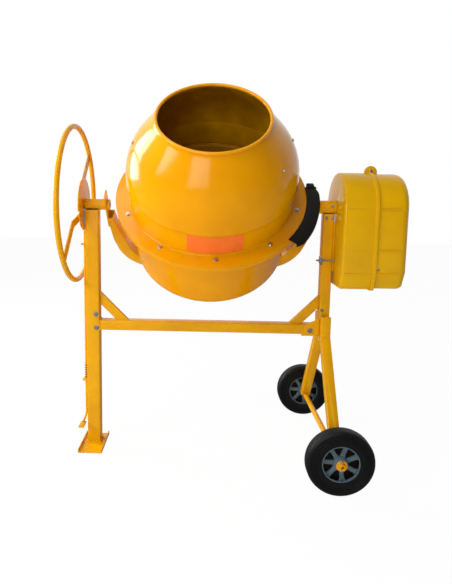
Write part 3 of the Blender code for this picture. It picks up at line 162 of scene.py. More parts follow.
def rounded(points: Sequence[Point], radius: float, steps: int = 4,
            closed: bool = True) -> list[Point]:
    """Round the corners of an outline.

    Args:
        points: The corners in order.
        radius: Wanted radius, made smaller where an edge is too short for it.
        steps: Straight pieces in each rounded corner.
        closed: Whether the last corner joins the first.

    Returns:
        The rounded outline.
    """
    made: list[Point] = []
    count = len(points)
    for i, point in enumerate(points):
        if not closed and i in (0, count - 1):
            made.append(tuple(point))
            continue
        here = Vector(point)
        back = Vector(points[i - 1]) - here
        ahead = Vector(points[(i + 1) % count]) - here
        half = back.angle(ahead) / 2
        if half > STRAIGHT:
            made.append(tuple(point))
            continue
        reach = min(radius / math.tan(half), EDGE_SHARE * back.length,
                    EDGE_SHARE * ahead.length)
        bend = reach * math.tan(half)
        back.normalize()
        ahead.normalize()
        centre = here + (back + ahead).normalized() * (bend / math.sin(half))
        first, last = here + back * reach - centre, here + ahead * reach - centre
        sweep = first.angle_signed(last)
        for k in range(steps + 1):
            spoke = first.copy()
            spoke.rotate(Matrix.Rotation(-sweep * k / steps, 2))
            made.append(tuple(centre + spoke))
    return made


# ---------------------------------------------------------------- meshes
def add_piece(name: str, mesh: bpy.types.Mesh,
              smooth: float = SOFT_TURN) -> bpy.types.Object:
    """Link a mesh as an object at the origin.

    Args:
        name: The piece's name.
        mesh: Its mesh, with its place in it.
        smooth: Edges that turn by more than this angle stay sharp.

    Returns:
        The piece.
    """
    mesh.shade_smooth()
    mesh.set_sharp_from_angle(angle=math.radians(smooth))
    piece = bpy.data.objects.new(name, mesh)
    bpy.context.scene.collection.objects.link(piece)
    return piece


def from_bmesh(name: str, bm: bmesh.types.BMesh, place: Matrix | None = None,
               smooth: float = SOFT_TURN) -> bpy.types.Object:
    """Turn a closed bmesh into a piece with its faces outwards.

    Args:
        name: The piece's name.
        bm: The bmesh, which is freed.
        place: Where it goes; it stays where it is if left out.
        smooth: Edges that turn by more than this angle stay sharp.

    Returns:
        The piece.
    """
    if place is not None:
        bm.transform(place)
    bmesh.ops.recalc_face_normals(bm, faces=bm.faces)
    mesh = bpy.data.meshes.new(name)
    bm.to_mesh(mesh)
    bm.free()
    return add_piece(name, mesh, smooth)


def settled(piece: bpy.types.Object, smooth: float = SOFT_TURN) -> bpy.types.Object:
    """Replace a piece by a plain mesh with its modifiers applied.

    Args:
        piece: The object whose modifiers are live.
        smooth: Edges that turn by more than this angle stay sharp.

    Returns:
        A new object of the same name, with no modifiers.
    """
    name = piece.name
    graph = bpy.context.evaluated_depsgraph_get()
    mesh = bpy.data.meshes.new_from_object(piece.evaluated_get(graph), depsgraph=graph)
    bpy.data.objects.remove(piece)
    mesh.name = name
    return add_piece(name, mesh, smooth)


def eased(piece: bpy.types.Object, edge: float, segments: int) -> bpy.types.Object:
    """Round a piece's edges, as folding, casting or filing leaves them.

    Args:
        piece: The piece, which is replaced.
        edge: Width of the rounding.
        segments: Facets in that rounding.

    Returns:
        The rounded piece, as a plain mesh.
    """
    bevel = piece.modifiers.new("eased_edges", "BEVEL")
    bevel.width = edge
    bevel.segments = segments
    bevel.limit_method = "ANGLE"
    bevel.angle_limit = math.radians(EASED_TURN)
    bevel.use_clamp_overlap = True
    return settled(piece)


def skin(bm: bmesh.types.BMesh, rings: Sequence[Sequence[bmesh.types.BMVert]]) -> None:
    """Join rings of corners into a skin with filled ends.

    Args:
        bm: The bmesh that holds the corners.
        rings: Equally long rings, in order along the piece.
    """
    for low, high in zip(rings, rings[1:]):
        for k in range(len(low)):
            j = (k + 1) % len(low)
            bm.faces.new((low[k], low[j], high[j], high[k]))
    bm.faces.new(rings[0][::-1])
    bm.faces.new(rings[-1])


def turned(name: str, profile: Sequence[Point], place: Matrix, steps: int = 64,
           smooth: float = SOFT_TURN) -> bpy.types.Object:
    """A turned solid from the closed section (radius, height) about local z.

    Args:
        name: The piece's name.
        profile: Section points; those on the axis become a pole.
        place: Where it goes.
        steps: Facets round the axis.
        smooth: Edges that turn by more than this angle stay sharp.

    Returns:
        The piece.
    """
    bm = bmesh.new()
    rings: list[list[bmesh.types.BMVert]] = []
    for radius, height in profile:
        if radius < SAME_PLACE:
            rings.append([bm.verts.new((0.0, 0.0, height))] * steps)
            continue
        turns = [math.tau * i / steps for i in range(steps)]
        rings.append([bm.verts.new((radius * math.cos(a), radius * math.sin(a), height))
                      for a in turns])
    for low, high in zip(rings, rings[1:] + rings[:1]):
        for i in range(steps):
            k = (i + 1) % steps
            corners = list(dict.fromkeys((low[i], low[k], high[k], high[i])))
            if len(corners) > 2:
                bm.faces.new(corners)
    return from_bmesh(name, bm, place, smooth)


def ring_section(inner: float, outer: float, low: float, high: float,
                 edge: float = 0.0008) -> list[Point]:
    """The section of a ring with eased edges."""
    return rounded([(outer, high), (outer, low), (inner, low), (inner, high)], edge, 3)


def sheet_section(outside: Sequence[Point], thickness: float) -> list[Point]:
    """Give an open profile its sheet thickness on the side away from its outside.

    Args:
        outside: The outer surface as (radius, height), from the top down.
        thickness: The sheet's thickness.

    Returns:
        The closed section.
    """
    inner: list[Point] = []
    last = len(outside) - 1
    for i, point in enumerate(outside):
        before, after = Vector(outside[max(i - 1, 0)]), Vector(outside[min(i + 1, last)])
        here = Vector(point)
        ways = [way.normalized() for way in (here - before, after - here)
                if way.length > NO_LENGTH]
        mean = sum(ways, Vector((0.0, 0.0))).normalized()
        normal = Vector((mean.y, -mean.x))
        stretch = max(SHEET_MITRE, normal.dot(Vector((ways[0].y, -ways[0].x))))
        inner.append(tuple(here + normal * thickness / stretch))
    return list(outside) + inner[::-1]


def tube(name: str, path: Sequence[Vector], radius: float, sides: int) -> bpy.types.Object:
    """A round bar along a path, with filled ends.

    Args:
        name: The piece's name.
        path: The bar's middle line.
        radius: Its radius.
        sides: Facets round it.

    Returns:
        The piece.
    """
    bm = bmesh.new()
    last = len(path) - 1
    rings = []
    normal: Vector | None = None
    for i, point in enumerate(path):
        way = (path[min(i + 1, last)] - path[max(i - 1, 0)]).normalized()
        if normal is None:
            normal = way.orthogonal()
        normal = (normal - way * normal.dot(way)).normalized()
        side = way.cross(normal)
        turns = [math.tau * k / sides for k in range(sides)]
        rings.append([bm.verts.new(point + radius * (normal * math.cos(a) + side * math.sin(a)))
                      for a in turns])
    skin(bm, rings)
    return from_bmesh(name, bm)


def swept(name: str, path: Sequence[Point], section: Sequence[Point], place: Matrix,
          shares: Sequence[float]) -> bpy.types.Object:
    """A section drawn along a flat open path.

    Args:
        name: The piece's name.
        path: Points in local x and y.
        section: Closed outline as (distance to the path's left, local z).
        place: Where it goes.
        shares: Share of the section's depth kept at each point.

    Returns:
        The piece, with filled ends.
    """
    bm = bmesh.new()
    rings = []
    last = len(path) - 1
    for i, point in enumerate(path):
        here = Vector(point)
        ways = [way.normalized() for way in (here - Vector(path[max(i - 1, 0)]),
                                             Vector(path[min(i + 1, last)]) - here)
                if way.length > NO_LENGTH]
        mean = sum(ways, Vector((0.0, 0.0))).normalized()
        stretch = 1.0 / max(SWEEP_MITRE, mean.dot(ways[0]))
        left = Vector((-mean.y, mean.x)) * stretch
        rings.append([bm.verts.new((*(here + left * across * shares[i]), out))
                      for across, out in section])
    skin(bm, rings)
    return from_bmesh(name, bm, place)


def plate(name: str, outlines: Sequence[Sequence[Point]], thickness: float, place: Matrix,
          edge: float = 0.0, segments: int = 2) -> bpy.types.Object:
    """A flat piece from closed outlines; those inside the first are holes.

    Args:
        name: The piece's name.
        outlines: Outlines in local x and y.
        thickness: Reach along local z, from the placement.
        place: Where it goes.
        edge: Rounding of its edges.
        segments: Facets in that rounding.

    Returns:
        The piece.
    """
    curve = bpy.data.curves.new(name, "CURVE")
    curve.dimensions = "2D"
    curve.fill_mode = "BOTH"
    curve.extrude = thickness / 2
    for outline in outlines:
        spline = curve.splines.new("POLY")
        spline.points.add(len(outline) - 1)
        for point, (x, y) in zip(spline.points, outline):
            point.co = (x, y, 0.0, 1.0)
        spline.use_cyclic_u = True
    flat = bpy.data.objects.new(name, curve)
    bpy.context.scene.collection.objects.link(flat)
    bpy.context.view_layer.update()
    piece = settled(flat)
    bpy.data.curves.remove(curve)
    bm = bmesh.new()
    bm.from_mesh(piece.data)
    bmesh.ops.remove_doubles(bm, verts=bm.verts, dist=SAME_PLACE)
    bmesh.ops.dissolve_limit(bm, angle_limit=FLAT_TURN, verts=bm.verts, edges=bm.edges)
    bm.transform(place @ Matrix.Translation((0.0, 0.0, thickness / 2)))
    bmesh.ops.recalc_face_normals(bm, faces=bm.faces)
    bm.to_mesh(piece.data)
    bm.free()
    piece.data.set_sharp_from_angle(angle=math.radians(SOFT_TURN))
    return eased(piece, edge, segments) if edge else piece


def softened(node: str, name: str, edge: float, segments: int) -> bpy.types.Object:
    """A copy of a CAD node with its edges eased.

    Args:
        node: The CAD node.
        name: The new piece's name.
        edge: Rounding of its edges.
        segments: Facets in that rounding.

    Returns:
        The piece, as a plain mesh.
    """
    bm = bmesh.new()
    bm.from_mesh(frame["nodes"][node].data)
    bmesh.ops.remove_doubles(bm, verts=bm.verts, dist=CAD_SAME_PLACE)
    bmesh.ops.dissolve_limit(bm, angle_limit=FLAT_TURN, verts=bm.verts, edges=bm.edges)
    mesh = bpy.data.meshes.new(name)
    bm.to_mesh(mesh)
    bm.free()
    return eased(add_piece(name, mesh), edge, segments)


# ---------------------------------------------------------------- nodes
def add_node(tree: bpy.types.NodeTree, kind: str, inputs: dict | None = None,
             **settings: object) -> bpy.types.Node:
    """Add a node with its settings and links.

    Args:
        tree: The shader or geometry tree.
        kind: The node's type name.
        inputs: Value or source socket for each input, by name or index.
        **settings: The node's own properties.

    Returns:
        The node.
    """
    made = tree.nodes.new(kind)
    for key, value in settings.items():
        setattr(made, key, value)
    for key, value in (inputs or {}).items():
        if isinstance(value, bpy.types.NodeSocket):
            tree.links.new(value, made.inputs[key])
        else:
            made.inputs[key].default_value = value
    return made


def linear(colour: str) -> tuple[float, float, float, float]:
    """An sRGB hex colour as linear red, green, blue and alpha."""
    channels = [int(colour[i:i + 2], 16) / 255 for i in (1, 3, 5)]
    return (*(c / 12.92 if c <= 0.04045 else ((c + 0.055) / 1.055) ** 2.4 for c in channels),
            1.0)


class Surface(Enum):
    """How a surface was made, which sets the pattern of its relief."""

    SPRAYED = "even orange peel"
    MOULDED = "fine spark-eroded grain"
    DRAWN = "streaks along one way"
    CAST = "coarse sand grain"


STREAKED = (1.0, 1.0, 0.04)     # how drawing stretches a grain along local z
EVEN = (1.0, 1.0, 1.0)
CAST_DETAIL = 4.0               # octaves in a sandy grain
SMOOTH_DETAIL = 1.5             # octaves in any other grain
PATCHES = {"From Min": 0.3, "From Max": 0.7}    # where most values of a noise lie


@dataclass(frozen=True)
class Finish:
    """One finish of the mixer, with sizes in millimetres as they are on the real surface."""

    name: str
    slot: str
    surface: Surface
    colour: str
    shade: str                  # what the colour drifts to
    roughness: float
    roughness_drift: float
    grain: float                # width of one grain, mm
    depth: float                # height of the grain, mm
    drift: float                # width of a patch of colour, mm
    metallic: float = 0.0
    ior: float = 1.5
    specular: float = 0.5       # share of the clear reflection kept

    def material(self) -> bpy.types.Material:
        """Build the finish once, and hand out the same material after that.

        Returns:
            The material.
        """
        known = bpy.data.materials.get(self.name)
        if known:
            return known
        made = bpy.data.materials.new(self.name)
        made.use_nodes = True
        tree = made.node_tree
        shader = tree.nodes["Principled BSDF"]
        where = add_node(tree, "ShaderNodeTexCoord").outputs["Object"]
        stretch = STREAKED if self.surface is Surface.DRAWN else EVEN
        fine = add_node(tree, "ShaderNodeMapping", {"Vector": where, "Scale": stretch})
        grain = add_node(tree, "ShaderNodeTexNoise", {
            "Vector": fine.outputs[0], "Scale": 1.0 / (self.grain * MM),
            "Detail": CAST_DETAIL if self.surface is Surface.CAST else SMOOTH_DETAIL,
            "Roughness": 0.55})
        patch = add_node(tree, "ShaderNodeTexNoise", {
            "Vector": where, "Scale": 1.0 / (self.drift * MM), "Detail": 3.0,
            "Roughness": 0.5})
        spread = add_node(tree, "ShaderNodeMapRange", {
            "Value": patch.outputs[0], **PATCHES})
        tint = add_node(tree, "ShaderNodeMix", {
            0: spread.outputs[0], 6: linear(self.shade), 7: linear(self.colour)},
            data_type="RGBA")
        dull = add_node(tree, "ShaderNodeMapRange", {
            "Value": patch.outputs[0], **PATCHES,
            "To Min": self.roughness + self.roughness_drift, "To Max": self.roughness})
        relief = add_node(tree, "ShaderNodeBump", {
            "Height": grain.outputs[0], "Distance": self.depth * MM, "Strength": 1.0})
        tree.links.new(tint.outputs[2], shader.inputs["Base Color"])
        tree.links.new(dull.outputs[0], shader.inputs["Roughness"])
        tree.links.new(relief.outputs[0], shader.inputs["Normal"])
        shader.inputs["Metallic"].default_value = self.metallic
        if not self.metallic:
            shader.inputs["IOR"].default_value = self.ior
            shader.inputs["Specular IOR Level"].default_value = self.specular
        return made


# The real grain of moulded, plated and drawn surfaces is mostly finer than half a millimetre.
# It would not show with the whole mixer in view, so it is drawn 0.6 to 3 mm wide. The drum's
# gloss enamel and the plain panel have only the long waves of the sheet under them.

# Stoved alkyd enamel on tube: gloss with a soft orange peel, so highlights have a broken edge.
FRAME_ENAMEL = Finish("stoved_enamel_frame", "frame_enamel", Surface.SPRAYED, "#EBAB00",
                      "#DE9C00", 0.26, 0.08, 2.2, 0.009, 90.0, specular=0.20)
# High-gloss enamel on pressed sheet: long clear reflections that waver with the pressing.
DRUM_ENAMEL = Finish("gloss_enamel_drum", "drum_enamel", Surface.SPRAYED, "#F0A400",
                     "#E69600", 0.10, 0.05, 26.0, 0.060, 160.0, specular=0.26)
# Enamel inside the drum: dull, and darker with a brown cast as painted shade.
DRUM_INSIDE_SHADE = Finish("thin_enamel_inside", "drum_enamel", Surface.SPRAYED, "#CB9400",
                     "#AE7800", 0.42, 0.14, 3.0, 0.040, 70.0, specular=0.15)
# Injection moulded ABS: even colour and a satin gloss, with faint flow marks.
HOUSING_ABS = Finish("moulded_abs_yellow", "housing_plastic", Surface.MOULDED, "#EBB300",
                     "#DFA800", 0.20, 0.06, 1.4, 0.010, 140.0, ior=1.54, specular=0.22)
# Injection moulded polypropylene, black: waxy, with a grained skin.
BLACK_PP = Finish("moulded_polypropylene", "black_plastic", Surface.MOULDED, "#15110C",
                  "#100C08", 0.34, 0.12, 1.1, 0.030, 30.0, ior=1.49, specular=0.16)
# Glass-filled nylon wheel centre: slate grey, half matt.
RIM_NYLON = Finish("moulded_nylon_grey", "rim_plastic", Surface.MOULDED, "#5C7079",
                   "#4A5C65", 0.38, 0.10, 1.2, 0.020, 24.0, ior=1.53, specular=0.3)
# Carbon-filled rubber: near black, dry, and greyer where the mould released it.
TYRE_RUBBER = Finish("moulded_solid_rubber", "tyre_rubber", Surface.MOULDED, "#050608",
                     "#0A0B0E", 0.46, 0.12, 1.6, 0.030, 20.0, ior=1.52, specular=0.30)
# Bright zinc plate on fasteners: a slightly blue grey metal with a short blurred shine.
ZINC_PLATE = Finish("bright_zinc_plate", "zinc_steel", Surface.CAST, "#D2D4D6", "#B2B5B8",
                    0.24, 0.10, 0.9, 0.010, 6.0, metallic=1.0)
# Cold-drawn mild steel: streaks along the drawing, dark grey.
DRAWN_STEEL = Finish("cold_drawn_steel", "bare_steel", Surface.DRAWN, "#9A9DA0", "#808387",
                     0.32, 0.12, 0.8, 0.020, 18.0, metallic=1.0)
# Grey iron as cast: sandy, dark and dull.
GREY_IRON = Finish("grey_iron_casting", "cast_iron", Surface.CAST, "#56575A", "#3E3F42",
                   0.58, 0.14, 1.5, 0.090, 14.0, metallic=1.0)
# Sheet blade with a thin coat of enamel: dull yellow.
BLADE_ENAMEL = Finish("thin_enamel_blade", "blade_steel", Surface.SPRAYED, "#C9A326",
                      "#A98012", 0.40, 0.12, 2.6, 0.030, 40.0, specular=0.3)
# Oil-blackened spring wire: nearly black with a low shine.
SPRING_WIRE = Finish("blackened_spring_wire", "spring_steel", Surface.DRAWN, "#2C2D30",
                     "#1D1E20", 0.35, 0.10, 0.6, 0.008, 8.0, metallic=1.0)
# Neoprene belt with a cloth face: black and dead matt.
BELT_NEOPRENE = Finish("neoprene_belt", "belt_rubber", Surface.MOULDED, "#1B1C1E", "#141517",
                       0.72, 0.10, 1.0, 0.040, 12.0, ior=1.52, specular=0.1)
# Air-dried machine paint over cast aluminium: blue grey, half matt.
MOTOR_PAINT = Finish("machine_paint_motor", "motor_paint", Surface.SPRAYED, "#4A5A66",
                     "#3D4C57", 0.42, 0.10, 1.8, 0.040, 30.0, specular=0.3)
# Coloured polycarbonate push buttons: clean and shiny.
GREEN_BUTTON = Finish("polycarbonate_green", "green_button", Surface.MOULDED, "#1E8A3C",
                      "#19773A", 0.22, 0.06, 1.0, 0.004, 10.0, ior=1.58)
RED_BUTTON = Finish("polycarbonate_red", "red_button", Surface.MOULDED, "#C21E1A",
                    "#AD1814", 0.22, 0.06, 1.0, 0.004, 10.0, ior=1.58)
# Self-adhesive vinyl left plain: flat orange with a little gloss.
PLAIN_VINYL = Finish("plain_vinyl_panel", "drum_enamel", Surface.SPRAYED, "#FF7E30",
                     "#FA7226", 0.24, 0.06, 9.0, 0.012, 60.0, specular=0.3)


def fit(piece: bpy.types.Object, finish: Finish, body: str, *nodes: str) -> bpy.types.Object:
    """Dress a piece, make it ride its body and say which CAD nodes it stands for.

    Args:
        piece: The finished mesh.
        finish: What it is finished in.
        body: The CAD body that carries it.
        *nodes: CAD nodes it replaces.

    Returns:
        The same piece.
    """
    if not piece.data.materials:
        piece.data.materials.append(finish.material())
    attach(piece, body)
    if nodes:
        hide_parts(*nodes)
    LOG.info("%s: %s, rides %s, %d faces", piece.name, finish.name, body,
             len(piece.data.polygons))
    return piece


def fit_node(node: str, name: str, edge: float, segments: int, finish: Finish,
             body: str) -> bpy.types.Object:
    """A CAD node with eased edges, dressed and riding its body."""
    return fit(softened(node, name, edge, segments), finish, body, node)


def dress_node(node: str, finish: Finish) -> None:
    """Give a CAD node that stays its procedural finish.

    Args:
        node: The CAD node.
        finish: What it is finished in.
    """
    slots = frame["nodes"][node].material_slots
    for slot in slots:
        slot.material = finish.material()
    if not slots:
        frame["nodes"][node].data.materials.append(finish.material())
    LOG.info("%s: %s, kept from the frame", node, finish.name)


# ---------------------------------------------------------------- repeated pieces
def new_tree(name: str, sizes: dict[str, tuple[str, object]]) -> bpy.types.GeometryNodeTree:
    """A geometry tree with a geometry input, a finish input and named sizes.

    Args:
        name: The tree's name.
        sizes: Socket type and default for each further input.

    Returns:
        The tree, with its group input and output nodes in place.
    """
    tree = bpy.data.node_groups.new(name, "GeometryNodeTree")
    face = tree.interface
    face.new_socket("Geometry", in_out="INPUT", socket_type="NodeSocketGeometry")
    face.new_socket("Finish", in_out="INPUT", socket_type="NodeSocketMaterial")
    for label, (kind, value) in sizes.items():
        socket = face.new_socket(label, in_out="INPUT", socket_type=kind)
        if value is not None:
            socket.default_value = value
    face.new_socket("Geometry", in_out="OUTPUT", socket_type="NodeSocketGeometry")
    add_node(tree, "NodeGroupInput")
    add_node(tree, "NodeGroupOutput")
    return tree


def close_tree(tree: bpy.types.GeometryNodeTree, shape: bpy.types.NodeSocket) -> None:
    """End a tree in Realize Instances and Set Material.

    Args:
        tree: The tree to end.
        shape: The geometry that comes out of it.
    """
    given = tree.nodes["Group Input"]
    real = add_node(tree, "GeometryNodeRealizeInstances", {"Geometry": shape})
    dressed = add_node(tree, "GeometryNodeSetMaterial", {
        "Geometry": real.outputs[0], "Material": given.outputs["Finish"]})
    tree.links.new(dressed.outputs[0], tree.nodes["Group Output"].inputs[0])


def fastener_tree() -> bpy.types.GeometryNodeTree:
    """Fasteners on points, each looking along the point's aim, at its own random turn.

    Returns:
        The tree.
    """
    tree = new_tree("fasteners_on_points", {"Fastener": ("NodeSocketObject", None),
                                            "Seed": ("NodeSocketInt", SEED)})
    given = tree.nodes["Group Input"]
    head = add_node(tree, "GeometryNodeObjectInfo", {"Object": given.outputs["Fastener"]},
                    transform_space="ORIGINAL")
    aim = add_node(tree, "GeometryNodeInputNamedAttribute", {"Name": "aim"},
                   data_type="FLOAT_VECTOR")
    look = add_node(tree, "FunctionNodeAlignRotationToVector", {"Vector": aim.outputs[0]},
                    axis="Z")
    chance = add_node(tree, "FunctionNodeRandomValue", {
        2: 0.0, 3: math.tau, "Seed": given.outputs["Seed"]}, data_type="FLOAT")
    spin = add_node(tree, "FunctionNodeAxisAngleToRotation", {
        "Axis": (0.0, 0.0, 1.0), "Angle": chance.outputs[1]})
    both = add_node(tree, "FunctionNodeRotateRotation", {
        "Rotation": look.outputs[0], "Rotate By": spin.outputs[0]}, rotation_space="LOCAL")
    placed_heads = add_node(tree, "GeometryNodeInstanceOnPoints", {
        "Points": given.outputs["Geometry"], "Instance": head.outputs["Geometry"],
        "Rotation": both.outputs[0]})
    close_tree(tree, placed_heads.outputs[0])
    return tree


def around_tree() -> bpy.types.GeometryNodeTree:
    """Equal copies of a part round local z.

    Returns:
        The tree.
    """
    tree = new_tree("copies_round_an_axis", {"Part": ("NodeSocketObject", None),
                                             "Count": ("NodeSocketInt", 7)})
    given = tree.nodes["Group Input"]
    part = add_node(tree, "GeometryNodeObjectInfo", {"Object": given.outputs["Part"]},
                    transform_space="ORIGINAL")
    points = add_node(tree, "GeometryNodePoints", {"Count": given.outputs["Count"]})
    index = add_node(tree, "GeometryNodeInputIndex")
    step = add_node(tree, "ShaderNodeMath", {0: math.tau, 1: given.outputs["Count"]},
                    operation="DIVIDE")
    turn = add_node(tree, "ShaderNodeMath", {0: step.outputs[0], 1: index.outputs[0]},
                    operation="MULTIPLY")
    turned_by = add_node(tree, "FunctionNodeAxisAngleToRotation", {
        "Axis": (0.0, 0.0, 1.0), "Angle": turn.outputs[0]})
    copies = add_node(tree, "GeometryNodeInstanceOnPoints", {
        "Points": points.outputs[0], "Instance": part.outputs["Geometry"],
        "Rotation": turned_by.outputs[0]})
    close_tree(tree, copies.outputs[0])
    return tree


def hoop_tree() -> bpy.types.GeometryNodeTree:
    """A round tube bent into a hoop about local z.

    Returns:
        The tree.
    """
    tree = new_tree("bent_hoop", {
        "Radius": ("NodeSocketFloat", 0.25), "Tube": ("NodeSocketFloat", 0.009),
        "Steps": ("NodeSocketInt", 128), "Sides": ("NodeSocketInt", 20)})
    given = tree.nodes["Group Input"]
    path = add_node(tree, "GeometryNodeCurvePrimitiveCircle", {
        "Resolution": given.outputs["Steps"], "Radius": given.outputs["Radius"]})
    section = add_node(tree, "GeometryNodeCurvePrimitiveCircle", {
        "Resolution": given.outputs["Sides"], "Radius": given.outputs["Tube"]})
    hoop = add_node(tree, "GeometryNodeCurveToMesh", {
        "Curve": path.outputs[0], "Profile Curve": section.outputs[0]})
    close_tree(tree, hoop.outputs[0])
    return tree


def weld_tree() -> bpy.types.GeometryNodeTree:
    """A weld bead: overlapping ripples along the edges of a path.

    Returns:
        The tree.
    """
    tree = new_tree("weld_bead", {
        "Pitch": ("NodeSocketFloat", 0.0022), "Width": ("NodeSocketFloat", 0.003),
        "Seed": ("NodeSocketInt", SEED)})
    given = tree.nodes["Group Input"]
    path = add_node(tree, "GeometryNodeMeshToCurve", {"Mesh": given.outputs["Geometry"]})
    points = add_node(tree, "GeometryNodeCurveToPoints", {
        "Curve": path.outputs[0], "Length": given.outputs["Pitch"]}, mode="LENGTH")
    ripple = add_node(tree, "GeometryNodeMeshIcoSphere", {
        "Radius": given.outputs["Width"], "Subdivisions": 2})
    uneven = add_node(tree, "FunctionNodeRandomValue", {
        2: 0.85, 3: 1.1, "Seed": given.outputs["Seed"]}, data_type="FLOAT")
    beads = add_node(tree, "GeometryNodeInstanceOnPoints", {
        "Points": points.outputs[0], "Instance": ripple.outputs[0],
        "Scale": uneven.outputs[1]})
    close_tree(tree, beads.outputs[0])
    return tree


class Growth(Enum):
    """Geometry trees that pieces grow from."""

    FASTENERS = "fasteners"
    AROUND = "around"
    HOOP = "hoop"
    WELD = "weld"


TREES = {Growth.FASTENERS: fastener_tree(), Growth.AROUND: around_tree(),
         Growth.HOOP: hoop_tree(), Growth.WELD: weld_tree()}


def grown(name: str, tree: Growth, finish: Finish, place: Matrix,
          mesh: bpy.types.Mesh | None = None, **sizes: object) -> bpy.types.Object:
    """Run a geometry tree and keep its result as a plain mesh.

    Args:
        name: The piece's name.
        tree: Which geometry tree.
        finish: What the result is dressed in.
        place: Where local zero goes.
        mesh: Points or edges the tree starts from.
        **sizes: The tree's inputs, by name.

    Returns:
        The piece, with no modifiers.
    """
    group = TREES[tree]
    seat = bpy.data.objects.new(name, mesh or bpy.data.meshes.new(name))
    bpy.context.scene.collection.objects.link(seat)
    modifier = seat.modifiers.new(tree.value, "NODES")
    modifier.node_group = group
    values = {"Finish": finish.material(), **sizes}
    for item in group.interface.items_tree:
        if item.in_out == "INPUT" and item.name in values:
            modifier[item.identifier] = values[item.name]
    bpy.context.view_layer.update()
    piece = settled(seat)
    piece.data.transform(place)
    return piece


class Fastener(Enum):
    """Kinds of fastener, as (across flats or head width, head height, washer width)."""

    FLANGE_BOLT = (0.0100, 0.0042, 0.0150)
    POST_BOLT = (0.0130, 0.0052, 0.0180)
    SMALL_BOLT = (0.0080, 0.0034, 0.0110)
    BLADE_BOLT = (0.0090, 0.0036, 0.0)
    PAN_SCREW = (0.0070, 0.0024, 0.0)


HEAD_STEPS = 12                 # corners round a hexagon head: six, and six between them
HEAD_SINK = 0.001               # how far a head reaches into its seat
HEAD_EDGE = 0.78                # share of the head's height below its chamfer
HEAD_CROWN = 0.47               # radius of the chamfered top, by the width across flats
WASHER_THICKNESS = 0.0012
WASHER_EDGE = 0.0003


def fastener_shape(kind: Fastener) -> bpy.types.Object:
    """The pattern piece of one fastener, seated at local zero and facing local z.

    Args:
        kind: Which fastener.

    Returns:
        An object to copy from; the caller removes it.
    """
    width, height, washer = kind.value
    if kind is Fastener.PAN_SCREW:
        outline = [(0.0, -HEAD_SINK), (width / 2, -HEAD_SINK)]
        outline += arc((0.0, 0.0), width / 2, 0.0, math.pi / 2, 5)[:-1]
        domed = [(r, z * height * 2 / width if z > 0 else z) for r, z in outline]
        return turned("head", domed + [(0.0, height)], Matrix(), 16)
    bm = bmesh.new()
    low = WASHER_THICKNESS if washer else 0.0
    rings = []
    for level, crown in ((low - HEAD_SINK, None), (low + height * HEAD_EDGE, None),
                         (low + height, width * HEAD_CROWN)):
        ring = []
        for i in range(HEAD_STEPS):
            turn = math.tau * i / HEAD_STEPS
            flat = width / 2 / math.cos((turn % (math.pi / 3)) - math.pi / 6)
            radius = crown or flat
            ring.append(bm.verts.new((radius * math.cos(turn), radius * math.sin(turn), level)))
        rings.append(ring)
    skin(bm, rings)
    if washer:
        bmesh.ops.create_cone(bm, cap_ends=True, segments=20, radius1=washer / 2,
                              radius2=washer / 2 - WASHER_EDGE, depth=low + HEAD_SINK,
                              matrix=Matrix.Translation((0.0, 0.0, (low - HEAD_SINK) / 2)))
    return from_bmesh("head", bm)


def fasteners(name: str, kind: Fastener, seats: Sequence[tuple[Vector, Vector]], body: str,
              finish: Finish = ZINC_PLATE) -> bpy.types.Object:
    """Fasteners at given seats, as one piece.

    Args:
        name: The piece's name.
        kind: Which fastener.
        seats: Place and outward direction of each.
        body: The CAD body that carries them.
        finish: What they are finished in.

    Returns:
        The piece.
    """
    points = bpy.data.meshes.new(name)
    points.from_pydata([tuple(place) for place, _ in seats], [], [])
    aim = points.attributes.new("aim", "FLOAT_VECTOR", "POINT")
    aim.data.foreach_set("vector", [c for _, way in seats for c in way])
    pattern = fastener_shape(kind)
    made = grown(name, Growth.FASTENERS, finish, Matrix(), points, Fastener=pattern)
    bpy.data.objects.remove(pattern)
    return fit(made, finish, body)


def weld(name: str, path: Sequence[Vector], body: str, width: float = 0.0026,
         closed: bool = False) -> bpy.types.Object:
    """A painted weld bead along a path.

    Args:
        name: The piece's name.
        path: Where the bead runs.
        body: The CAD body that carries it.
        width: Half width of the bead.
        closed: Whether the path's end joins its start.

    Returns:
        The piece.
    """
    edges = [(i, i + 1) for i in range(len(path) - 1)]
    if closed:
        edges.append((len(path) - 1, 0))
    mesh = bpy.data.meshes.new(name)
    mesh.from_pydata([tuple(point) for point in path], edges, [])
    made = grown(name, Growth.WELD, FRAME_ENAMEL, Matrix(), mesh, Width=width,
                 Pitch=width * WELD_PITCH)
    return fit(made, FRAME_ENAMEL, body)


def box_path(x0: float, y0: float, x1: float, y1: float, z: float) -> list[Vector]:
    """The corners of a level rectangle."""
    return [Vector((x, y, z)) for x, y in rectangle(x0, y0, x1, y1)]


